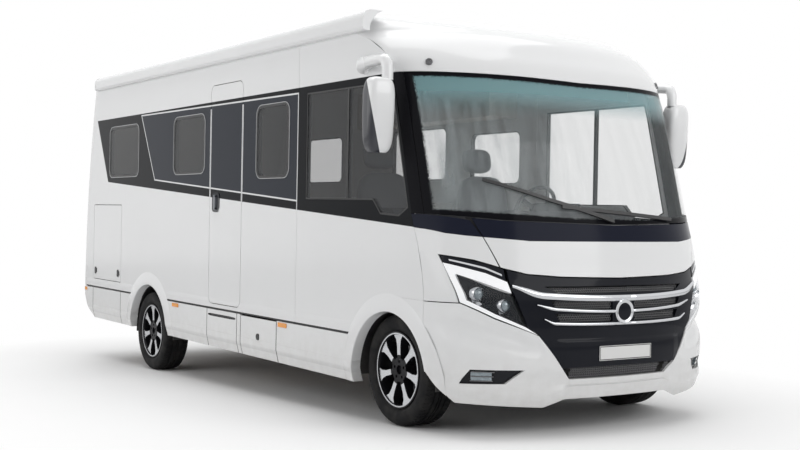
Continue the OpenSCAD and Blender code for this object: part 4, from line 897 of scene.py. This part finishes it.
# Bars: z in the middle, then y and z at the bend and at the end, and their height, in millimetres.
BARS = ((865, 590, 885, 773, 942, 36), (784, 507, 803, 638, 832, 20), (708, 520, 718, 595, 747, 20))
bars = []
for i, (mid, ky, kz, ey, ez, tall) in enumerate(BARS):
    line = np.array([(ey, ez), (ky, kz), (0, mid), (-ky, kz), (-ey, ez)]) / 1000
    bars.append(half_round("chrome_bar_%d" % (i + 1), line, tall / 1000, 0.006))


def turned(name, outline, centre, forward, n=64, sharp=35):
    """An outline of (radius, height) turned about an axis through centre along forward."""
    outline = np.asarray(outline, float)
    forward = np.asarray(forward, float) / np.linalg.norm(forward)
    a = np.cross(forward, [0, 0, 1] if abs(forward[2]) < 0.9 else [1, 0, 0])
    a /= np.linalg.norm(a)
    b = np.cross(forward, a)
    t = np.linspace(0, 2 * np.pi, n, endpoint=False)
    spoke = np.cos(t)[:, None] * a + np.sin(t)[:, None] * b
    points = (np.asarray(centre) + outline[:, None, 1:] * forward + outline[:, None, :1] * spoke[None])
    faces = grid_faces(len(outline), n, around=True).tolist()
    last = (len(outline) - 1) * n
    faces += [list(range(n)), list(range(last, last + n))[::-1]]
    return new_mesh(name, points.reshape(-1, 3), faces, sharp)


level_x = leaned(np.array([1.0, 0, 0])) - leaned(np.zeros(3))
badge_at = leaned(np.array([float(front_x(0.0, 0.781)) - 0.004, 0, 0.781]))
ring = turned("badge_ring", [(0.062, 0.011), (0.067, 0.0144), (0.073, 0.0144), (0.0765, 0.010),
                             (0.076, -0.006), (0.060, -0.006)], badge_at, level_x, 96)
disc = turned("badge_disc", [(0.001, 0.0135), (0.03, 0.0130), (0.0605, 0.0105), (0.0605, -0.004),
                             (0.001, -0.004)], badge_at, level_x, 96)
dress(chrome, *bars, ring)
dress(gloss_black, disc)
for piece in [face, upper_mesh]:
    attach(piece, "body")
    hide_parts("grille")
for piece in [*bars, ring, disc]:
    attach(piece, "body")
    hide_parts("grille_bars")
lower_net = honeycomb("lower_net", lower_fields, 0.0165, 0.0035, 0.014, 0.008)
dress(mesh_gum, lower_net)
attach(lower_net, "body")
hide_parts("lower_mesh")

PLATE_W, PLATE_H, PLATE_Z = 0.435, 0.090, 0.531
u, v = np.meshgrid(np.linspace(-1, 1, 41), np.linspace(-1, 1, 13))
plate_y = 0.0 - u * PLATE_W / 2
plate_z = PLATE_Z + v * PLATE_H / 2
plate_x = float(front_x(0.0, PLATE_Z)) + 0.0040
from_edge = np.minimum((1 - np.abs(u)) * PLATE_W / 2, (1 - np.abs(v)) * PLATE_H / 2)
pressed = 0.0012 * (from_edge < 0.0085)
plate_face = leaned(np.stack([plate_x + pressed, plate_y, plate_z], -1))
plate_back = leaned(np.stack([np.full_like(u, plate_x - 0.0025), plate_y, plate_z], -1))
plate = shell("number_plate", plate_face, plate_back)
plate_enamel = Finish("plate_enamel", (0.75, 0.75, 0.74), 0.3, Coat_Weight=0.3)
_, py, pz = body_axes(plate_enamel)
edge = (abs(py) - (PLATE_W / 2 - 0.008)).most(abs(pz - PLATE_Z) - (PLATE_H / 2 - 0.008))
edge = edge.step(0.0, 0.001) * (0.005 - edge).step(0.0, 0.001)
plate_enamel.feed("Base Color", plate_enamel.mix(edge, (0.72, 0.72, 0.71), (0.02, 0.02, 0.02)))
plate_enamel.grain(0.0001, 200.0, 2.0)
dress(plate_enamel, plate)
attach(plate, "body")

# Headlamps.
# A black bowl with two projector lamps and their chromed brows, framed by a white light band
# above and along the outer edge, a black strip with a slot over it, and a clear cover.
LAMP_IN = inset((433, 0.697), (264, 0.776), (133, 0.854), (94, 1.010))
LAMP_TOP = inset((352, 0.900), (227, 0.955), (94, 1.010))
# Projectors: distance in from the side, and z.
LAMPS = ((0.216, 0.890), (0.352, 0.822))
light_band = Finish("light_band", (0.82, 0.83, 0.85), 0.25, Coat_Weight=1.0, Coat_Roughness=0.02,
                    Emission_Strength=0.25)
light_band.feed("Emission Color", (1, 1, 1, 1))
light_band.grain(0.0004, 60.0, 1.0, (1, 8, 1))
bowl_gum = Finish("lamp_bowl", (0.014, 0.015, 0.018), 0.22, Coat_Weight=0.05, Specular_IOR_Level=0.15)
bowl_gum.grain(0.0002, 150.0, 2.0)
lens_glass = Finish("projector_glass", (0.10, 0.13, 0.15), 0.02, Coat_Weight=1.0, Coat_Roughness=0.01,
                    Metallic=0.6)
lens_glass.mottle((0.06, 0.09, 0.11), (0.35, 0.42, 0.46), 30.0, 1.0)
cover_glass = Finish("cover_glass", (0.10, 0.11, 0.12), 0.03, Alpha=0.06, Coat_Weight=1.0, Coat_Roughness=0.01)
cover_glass.grain(0.0003, 4.0, 1.0)
for side, tag in SIDES:
    outer_band = patch("light_band_outer_" + tag, inset((502, 0.652), (264, 0.753), (107, 0.840), (55, 1.072)),
                       LAMP_IN, 60, 4, 0.05, -0.001)
    top_band = patch("light_band_top_" + tag, LAMP_TOP, inset((340, 0.966), (234, 1.016), (55, 1.073)),
                     40, 4, 0.05, -0.001)
    strip = patch("lamp_strip_" + tag, inset((334, 0.975), (234, 1.021), (54, 1.078)),
                  inset((328, 1.041), (212, 1.079), (50, 1.118)), 40, 6, 0.03, -0.004)
    slot = patch("lamp_slot_" + tag, inset((318, 1.000), (234, 1.040), (80, 1.086)),
                 inset((316, 1.012), (234, 1.052), (78, 1.096)), 30, 2, 0.004, -0.0025)
    bowl = patch("lamp_bowl_" + tag, LAMP_IN, inset((352, 0.898), (275, 0.936), (200, 0.970), (96, 1.008)),
                 40, 16, 0.012, -0.055)
    cover = patch("lamp_cover_" + tag, LAMP_IN, inset((352, 0.900), (227, 0.955), (96, 1.009)),
                  50, 16, 0.003, -0.004)
    parts = [outer_band, top_band, strip, slot, bowl, cover]
    for k, (d, z) in enumerate(LAMPS):
        y = d - HALF_W
        at = leaned(np.array([float(front_x(y, z)) - 0.075, y, z]))
        ball = [(0.033 * math.cos(a), 0.014 + 0.024 * math.sin(a))
                for a in np.linspace(0, np.pi / 2 - 0.03, 12)]
        parts.append(turned("projector_%d_%s" % (k + 1, tag), ball[::-1] + [(0.033, 0.0), (0.001, 0.0)],
                            at, level_x, 48))
        parts.append(turned("projector_ring_%d_%s" % (k + 1, tag),
                            [(0.034, -0.02), (0.034, 0.016), (0.039, 0.020), (0.043, 0.014), (0.045, -0.02)],
                            at, level_x, 48))
        t = np.linspace(-2.5, -0.35, 25)[:, None]
        w = np.linspace(0, 1, 5)[None]
        r = 0.047 + 0.022 * w * np.sin((t + 2.5) / 2.15 * np.pi)
        brow_y = y - r * np.cos(t) * 1.25
        brow_z = z + r * np.sin(t)
        brow_x = front_x(y, z) - 0.062 + 0.012 * w + 0 * t
        brow_face = leaned(np.stack([brow_x, brow_y, brow_z], -1))
        parts.append(shell("lamp_brow_%d_%s" % (k + 1, tag), brow_face, brow_face - level_x * 0.004, 60))
    to_side(side, *parts)
    dress(light_band, outer_band, top_band)
    dress(gloss_black, strip)
    dress(bowl_gum, bowl)
    dress(cover_glass, cover)
    dress(chrome, slot)
    for piece in parts[6:]:
        dress(chrome if piece.name.split("_")[1] in ("ring", "brow") else lens_glass, piece)
    for piece in parts:
        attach(piece, "body")
        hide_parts("headlamps")

# Fog lamps.
# A sloping grey-black bezel in each corner of the bumper with an oblong lamp behind ribs.
for side, tag in SIDES:
    bezel = patch("fog_bezel_" + tag, inset((300, 0.346), (90, 0.344)),
                  inset((445, 0.452), (135, 0.452)), 30, 8, 0.005, -0.019)
    lamp = patch("fog_lens_" + tag, inset((262, 0.374), (160, 0.375)),
                 inset((254, 0.424), (154, 0.426)), 20, 6, 0.012, -0.008)
    rim = [patch("fog_rib_%d_%s" % (k + 1, tag), inset((268, z), (156, z + 0.001)),
                 inset((267, z + 0.005), (156, z + 0.006)), 16, 2, 0.006, -0.004)
           for k, z in enumerate((0.370, 0.396, 0.424))]
    to_side(side, bezel, lamp, *rim)
    dress(bowl_gum, bezel)
    dress(lens_glass, lamp)
    dress(mesh_gum, *rim)
    for piece in (bezel, lamp, *rim):
        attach(piece, "body")
        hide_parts("fog_lamps")

# Tail lamps and markers.
# Red moulded lenses let into the rear wall, amber side lamps of clear-dyed plastic on the skirts,
# and two small round clear lamps in black sockets in the brow, all clipped in from outside.
tail_glass = Finish("tail_glass", (0.30, 0.008, 0.006), 0.08, Coat_Weight=1.0, Coat_Roughness=0.02)
tail_glass.mottle((0.34, 0.010, 0.008), (0.18, 0.004, 0.004), 40.0, 1.0, (1, 1, 6))
tail_glass.grain(0.0004, 120.0, 1.0)
dress(tail_glass, "tail_lamps")
amber = Finish("amber_lens", (0.88, 0.33, 0.03), 0.2, Coat_Weight=0.6)
az = amber.place()[2]
amber.feed("Base Color", amber.mix((az - 1.5).step(0.0, 0.1), (0.88, 0.33, 0.03), (0.75, 0.76, 0.78)))
amber.grain(0.0004, 250.0, 1.0)
dress(amber, "marker_lamps")
for side, tag in SIDES:
    at, ahead_of = on_front(0.140 - HALF_W, 2.3165, [0.0, 1.0])
    way = ahead_of - at
    socket = turned("brow_ring_" + tag, [(0.0005, 0.0088), (0.0125, 0.0088), (0.0150, 0.0125), (0.0195, 0.0125),
                                        (0.0225, 0.0095), (0.0235, -0.002), (0.0005, -0.002)], at, way, 48)
    bulb = turned("brow_lens_" + tag, [(0.0005, 0.0125), (0.006, 0.0120), (0.0105, 0.0105), (0.0130, 0.0080),
                                      (0.0005, 0.0080)], at, way, 48)
    to_side(side, socket, bulb)
    dress(mesh_gum, socket)
    dress(cover_glass, bulb)
    for piece in (socket, bulb):
        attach(piece, "body")


# Wheels.
# Cast seven-spoke rims with machined silver faces and black painted pockets, low-profile tyres
# with four grooves and slanted shoulder sipes, and turned brake discs behind the spokes.
REAR_X = -4.085
# x of each wheel's axle, and y of the middle of its tyre.
WHEELS = {"front_right": (0.0, -0.938), "front_left": (0.0, 0.938), "rear_right": (REAR_X, -0.974),
          "rear_left": (REAR_X, 0.974)}
WHEEL_R = 0.360
tyre_gum = Finish("tyre_rubber", (0.012, 0.012, 0.013), 0.72, Specular_IOR_Level=0.15)
tyre_gum.feed("Base Color", tyre_gum.mix(tyre_gum.noise(11.0, 6.0).step(0.56, 0.3), (0.010, 0.010, 0.011),
                                       (0.028, 0.027, 0.026)))
tyre_gum.grain(0.0005, 260.0, 3.0)
rim_coat = Finish("rim_alloy", (0.55, 0.56, 0.58), 0.24, Metallic=0.9, Specular_IOR_Level=0.12)
nx = rim_coat.node("SeparateXYZ", {}, rim_coat.node("NewGeometry", {}, out=1), out=1)
facing = abs(nx).step(0.86, 0.05)
ox, _, oz = rim_coat.place()
from_front, from_rear = ox + MIDDLE_X, ox + (MIDDLE_X - REAR_X)
reach = ((from_front * from_front).least(from_rear * from_rear) + (oz - WHEEL_R) * (oz - WHEEL_R)).math("SQRT")
facing = facing * reach.step(0.096, 0.004) * (0.238 - reach).step(0.0, 0.003)
lathe = rim_coat.noise(3.0, 2.0)
rim_coat.feed("Base Color", rim_coat.mix(facing, (0.012, 0.012, 0.014), (0.60, 0.61, 0.63)))
rim_coat.feed("Metallic", facing * 0.9)
rim_coat.feed("Roughness", lathe * 0.12 + 0.18)
disc_iron = Finish("brake_disc", (0.22, 0.22, 0.225), 0.35, Metallic=0.9)
disc_iron.grain(0.0002, 200.0, 2.0)
for name, (wx, wy) in WHEELS.items():
    centre = np.array([wx - MIDDLE_X, wy, WHEEL_R])
    out = -1.0 if wy < 0 else 1.0
    # tyre profile: radius over the width, from the inner bead round the tread to the outer bead
    s = np.array([[0.236, 0.088], [0.243, 0.092], [0.250, 0.0954], [0.256, 0.102], [0.262, 0.109],
                  [0.275, 0.1145], [0.290, 0.1172], [0.304, 0.118], [0.318, 0.1172], [0.330, 0.1148],
                  [0.340, 0.1105], [0.347, 0.1055], [0.3525, 0.0995], [0.3560, 0.092], [0.3580, 0.084],
                  [0.3590, 0.076]])
    tread = []
    for a, b in ((0.068, 0.050), (0.042, 0.014), (0.006, -0.006), (-0.014, -0.042), (-0.050, -0.068)):
        tread += [[0.3600, a], [0.3600, b]]
        if b > -0.06:
            tread += [[0.3525, b - 0.0006], [0.3525, b - 0.0074]]
    profile = np.concatenate([s, tread, s[::-1] * [1, -1]])
    n = 360
    t = np.arange(n) / n * 2 * np.pi
    r = np.repeat(profile[None, :, 0], n, 0)
    w = np.repeat(profile[None, :, 1], n, 0)
    phase = (np.arange(n)[:, None] / 5 + np.abs(w) * 14) % 1
    shoulder = (np.abs(w) > 0.049) & (np.abs(w) < 0.104) & (r > 0.345)
    r = np.where(shoulder & (phase < 0.22), r - 0.006, r)
    ribs = (np.abs(w) > 0.106) & (r > 0.31) & (r < 0.346)
    w = np.where(ribs & (np.arange(n)[:, None] % 2 == 0), w * 0.994, w)
    points = centre + np.stack([r * np.sin(t)[:, None], w, -r * np.cos(t)[:, None]], -1)
    m = len(profile)
    i, j = np.meshgrid(np.arange(n), np.arange(m), indexing="ij")
    quads = np.stack([i * m + j, i * m + (j + 1) % m, (i + 1) % n * m + (j + 1) % m, (i + 1) % n * m + j], -1)
    tyre = new_mesh("road_tyre_" + name, points.reshape(-1, 3), quads.reshape(-1, 4), 38)
    dress(tyre_gum, tyre)
    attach(tyre, "wheel_" + name)
    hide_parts("tyre_" + name)
    dress(rim_coat, "rim_" + name)
    disc_back = -0.012
    rotor = turned("brake_disc_" + name, [(0.080, disc_back), (0.150, disc_back), (0.150, disc_back + 0.022),
                                          (0.080, disc_back + 0.022)], centre, (0, out, 0), 72)
    dress(disc_iron, rotor)
    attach(rotor, "wheel_" + name)
    for k in range(5):
        a = math.radians(90 + 72 * k)
        at = centre + np.array([0.054 * math.cos(a), out * 0.066, 0.054 * math.sin(a)])
        bolt = turned("wheel_bolt_%s_%d" % (name, k + 1), [(0.0005, 0.011), (0.006, 0.011), (0.0078, 0.009),
                                                          (0.0078, 0.0), (0.0005, 0.0)], at, (0, out, 0), 6, 20)
        dress(chrome, bolt)
        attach(bolt, "wheel_" + name)

# Cab: dashboard, steering wheel and seats.
# A grained dark moulding under the screen, a leather-wrapped wheel on its column, and two foam
# seats in grey leather with sewn channels, each bolted to a box on the cab floor.
dress(cab_trim, "dashboard")
wheel_skin = Finish("wheel_leather", (0.02, 0.02, 0.021), 0.5)
wheel_skin.grain(0.0005, 500.0, 3.0)
dress(wheel_skin, "steering_wheel")
seat_cloth = Finish("seat_leather", (0.16, 0.165, 0.175), 0.5, Sheen_Weight=0.2)
seat_cloth.mottle((0.14, 0.145, 0.155), (0.19, 0.195, 0.205), 6.0, 3.0)
seat_cloth.bump(seat_cloth.node("TexVoronoi", {"feature": "F1"}, seat_cloth.node("TexCoord", {}, out=3), None,
                                420.0), 0.0006)


def pad(name, centre, size, lean=0.0, power=3.4, seams=0, crown=0.12):
    """A closed crowned pad: a box rounded by the power of its superellipsoid, whose sides pull in
    towards its edges and whose face is pressed down in straight sewn channels."""
    n = 40
    u = np.linspace(-np.pi / 2, np.pi / 2, n + 1)[1:-1][:, None]
    v = np.linspace(-np.pi, np.pi, 2 * n, endpoint=False)[None]

    def bent(c):
        return np.sign(c) * np.abs(c) ** (2 / power)

    x = bent(np.cos(u)) * bent(np.cos(v))
    y = bent(np.cos(u)) * bent(np.sin(v))
    z = bent(np.sin(u)) * np.ones_like(v)
    puff = 1 - crown * (np.abs(x) ** 4 * np.abs(y) ** 4)
    if seams:
        groove = np.exp(-((((x + 1) * seams / 2 + 0.5) % 1 - 0.5) / 0.06) ** 2)
        z = z * (1 - 0.10 * groove * (np.abs(z) > 0.5))
    p = np.stack([x * puff, y * puff, z], -1) * np.array(size) / 2
    c, s = math.cos(lean), math.sin(lean)
    p = np.stack([p[..., 0] * c - p[..., 2] * s, p[..., 1], p[..., 0] * s + p[..., 2] * c], -1)
    p += np.array(centre)
    rows, columns = p.shape[:2]
    faces = grid_faces(rows, columns, around=True, turn=True).tolist()
    last = (rows - 1) * columns
    faces += [list(range(columns))[::-1], list(range(last, last + columns))]
    return new_mesh(name, leaned(p).reshape(-1, 3), faces, 60)


for side, seat_y in (("right", -0.46), ("left", 0.46)):
    parts = [pad("seat_cushion_" + side, (-0.85, seat_y, 0.925), (0.51, 0.49, 0.15), 0.0, 4, 3),
             pad("seat_back_" + side, (-1.085, seat_y, 1.295), (0.13, 0.46, 0.75), 0.14, 4, 0),
             pad("seat_head_" + side, (-1.195, seat_y, 1.79), (0.10, 0.26, 0.19), 0.14, 3.2, 0),
             pad("seat_arm_in_" + side, (-0.90, seat_y - 0.265 * np.sign(seat_y), 1.14), (0.34, 0.055, 0.07),
                 0.0, 3, 0)]
    base = pad("seat_base_" + side, (-0.85, seat_y, 0.733), (0.38, 0.38, 0.243), 0.0, 10, 0, 0.0)
    dress(seat_cloth, *parts)
    dress(cab_trim, base)
    for piece in parts:
        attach(piece, "body")
        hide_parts("seats")
    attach(base, "body")
    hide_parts("seats")

# Mirrors.
# Two hollow plastic housings that hang from arms on the wall: white covers in front, grained
# black behind, where the mirror glass sits.
def housing(name):
    """Upright housing: rounded squares in plan that shrink towards its top and its pointed foot."""
    rows = 48
    v = np.linspace(0, 1, rows)[:, None]
    t = np.linspace(0, 2 * np.pi, 64, endpoint=False)[None]
    z = 1.728 + 0.484 * v
    grow = (1 - np.abs(2 * v - 1) ** 5) ** 0.3
    foot = 0.92 + 0.08 * np.clip(v / 0.5, 0, 1) ** 0.7
    wide, deep = 0.0970 * grow * foot, 0.077 * grow * (0.80 + 0.20 * v)
    x = 0.1125 + 0.012 * (v - 0.5) + deep * np.sign(np.cos(t)) * np.abs(np.cos(t)) ** 0.6
    y = -1.302 + 0.006 * (1 - foot) + wide * np.sign(np.sin(t)) * np.abs(np.sin(t)) ** 0.6
    p = np.stack([x, y, z + 0 * t], -1)[1:-1]
    rows -= 2
    faces = grid_faces(rows, 64, around=True).tolist()
    faces += [list(range(64)), list(range((rows - 1) * 64, rows * 64))[::-1]]
    return new_mesh(name, leaned(p).reshape(-1, 3), [f[::-1] for f in faces], 50)


def tube(name, route, radius, n=24):
    """A round bar along a route of points in the body's axes, with a list of its radius at each:
    the circle cos t * a + sin t * b across the route's direction."""
    route = np.asarray(route, float)
    at = np.linspace(0, 1, len(route))
    fine = np.linspace(0, 1, 10 * len(route))
    p = np.stack([smooth_table(at, route[:, k])(fine) for k in range(3)], -1)
    r = np.interp(fine, at, radius)[:, None, None]
    way = np.gradient(p, axis=0)
    way /= np.linalg.norm(way, axis=1, keepdims=True)
    a = np.cross(way, [0.13, 0.21, 0.97])
    a /= np.linalg.norm(a, axis=1, keepdims=True)
    b = np.cross(way, a)
    t = np.linspace(0, 2 * np.pi, n, endpoint=False)
    ring = np.cos(t)[None, :, None] * a[:, None] + np.sin(t)[None, :, None] * b[:, None]
    q = leaned(p[:, None] + r * ring)
    rows = len(p)
    faces = grid_faces(rows, n, around=True).tolist()
    faces += [list(range(n)), list(range((rows - 1) * n, rows * n))[::-1]]
    return new_mesh(name, q.reshape(-1, 3), [f[::-1] for f in faces], 50)


mirror_skin = Finish("mirror_cover", PAINT_WHITE, 0.2, Coat_Weight=0.6)
mx, my, mz = body_axes(mirror_skin)
depth = mx * 0.552 - abs(my) * 0.834
back_part = ((2.19 - mz) * 0.2 - 1.100 - depth).step(0.0, 0.0015)
mirror_skin.feed("Base Color", mirror_skin.mix(back_part * (2.21 - mz).step(0.0, 0.002), PAINT_WHITE,
                                              (0.012, 0.014, 0.022)))
mirror_skin.feed("Roughness", back_part * 0.2 + 0.2)
mirror_skin.grain(0.0001, 300.0, 2.0)
for side, tag in SIDES:
    parts = [housing("mirror_housing_" + tag),
             tube("mirror_arm_" + tag, [(-0.33, -1.137, 2.33), (-0.28, -1.165, 2.335), (-0.16, -1.20, 2.335),
                                        (0.02, -1.235, 2.330), (0.10, -1.25, 2.318), (0.128, -1.25, 2.26),
                                        (0.13, -1.25, 2.19)], [0.057, 0.050, 0.040] + 4 * [0.036])]
    to_side(side, *parts)
    dress(mirror_skin, *parts)
    for piece in parts:
        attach(piece, "body")
        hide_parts("mirrors")
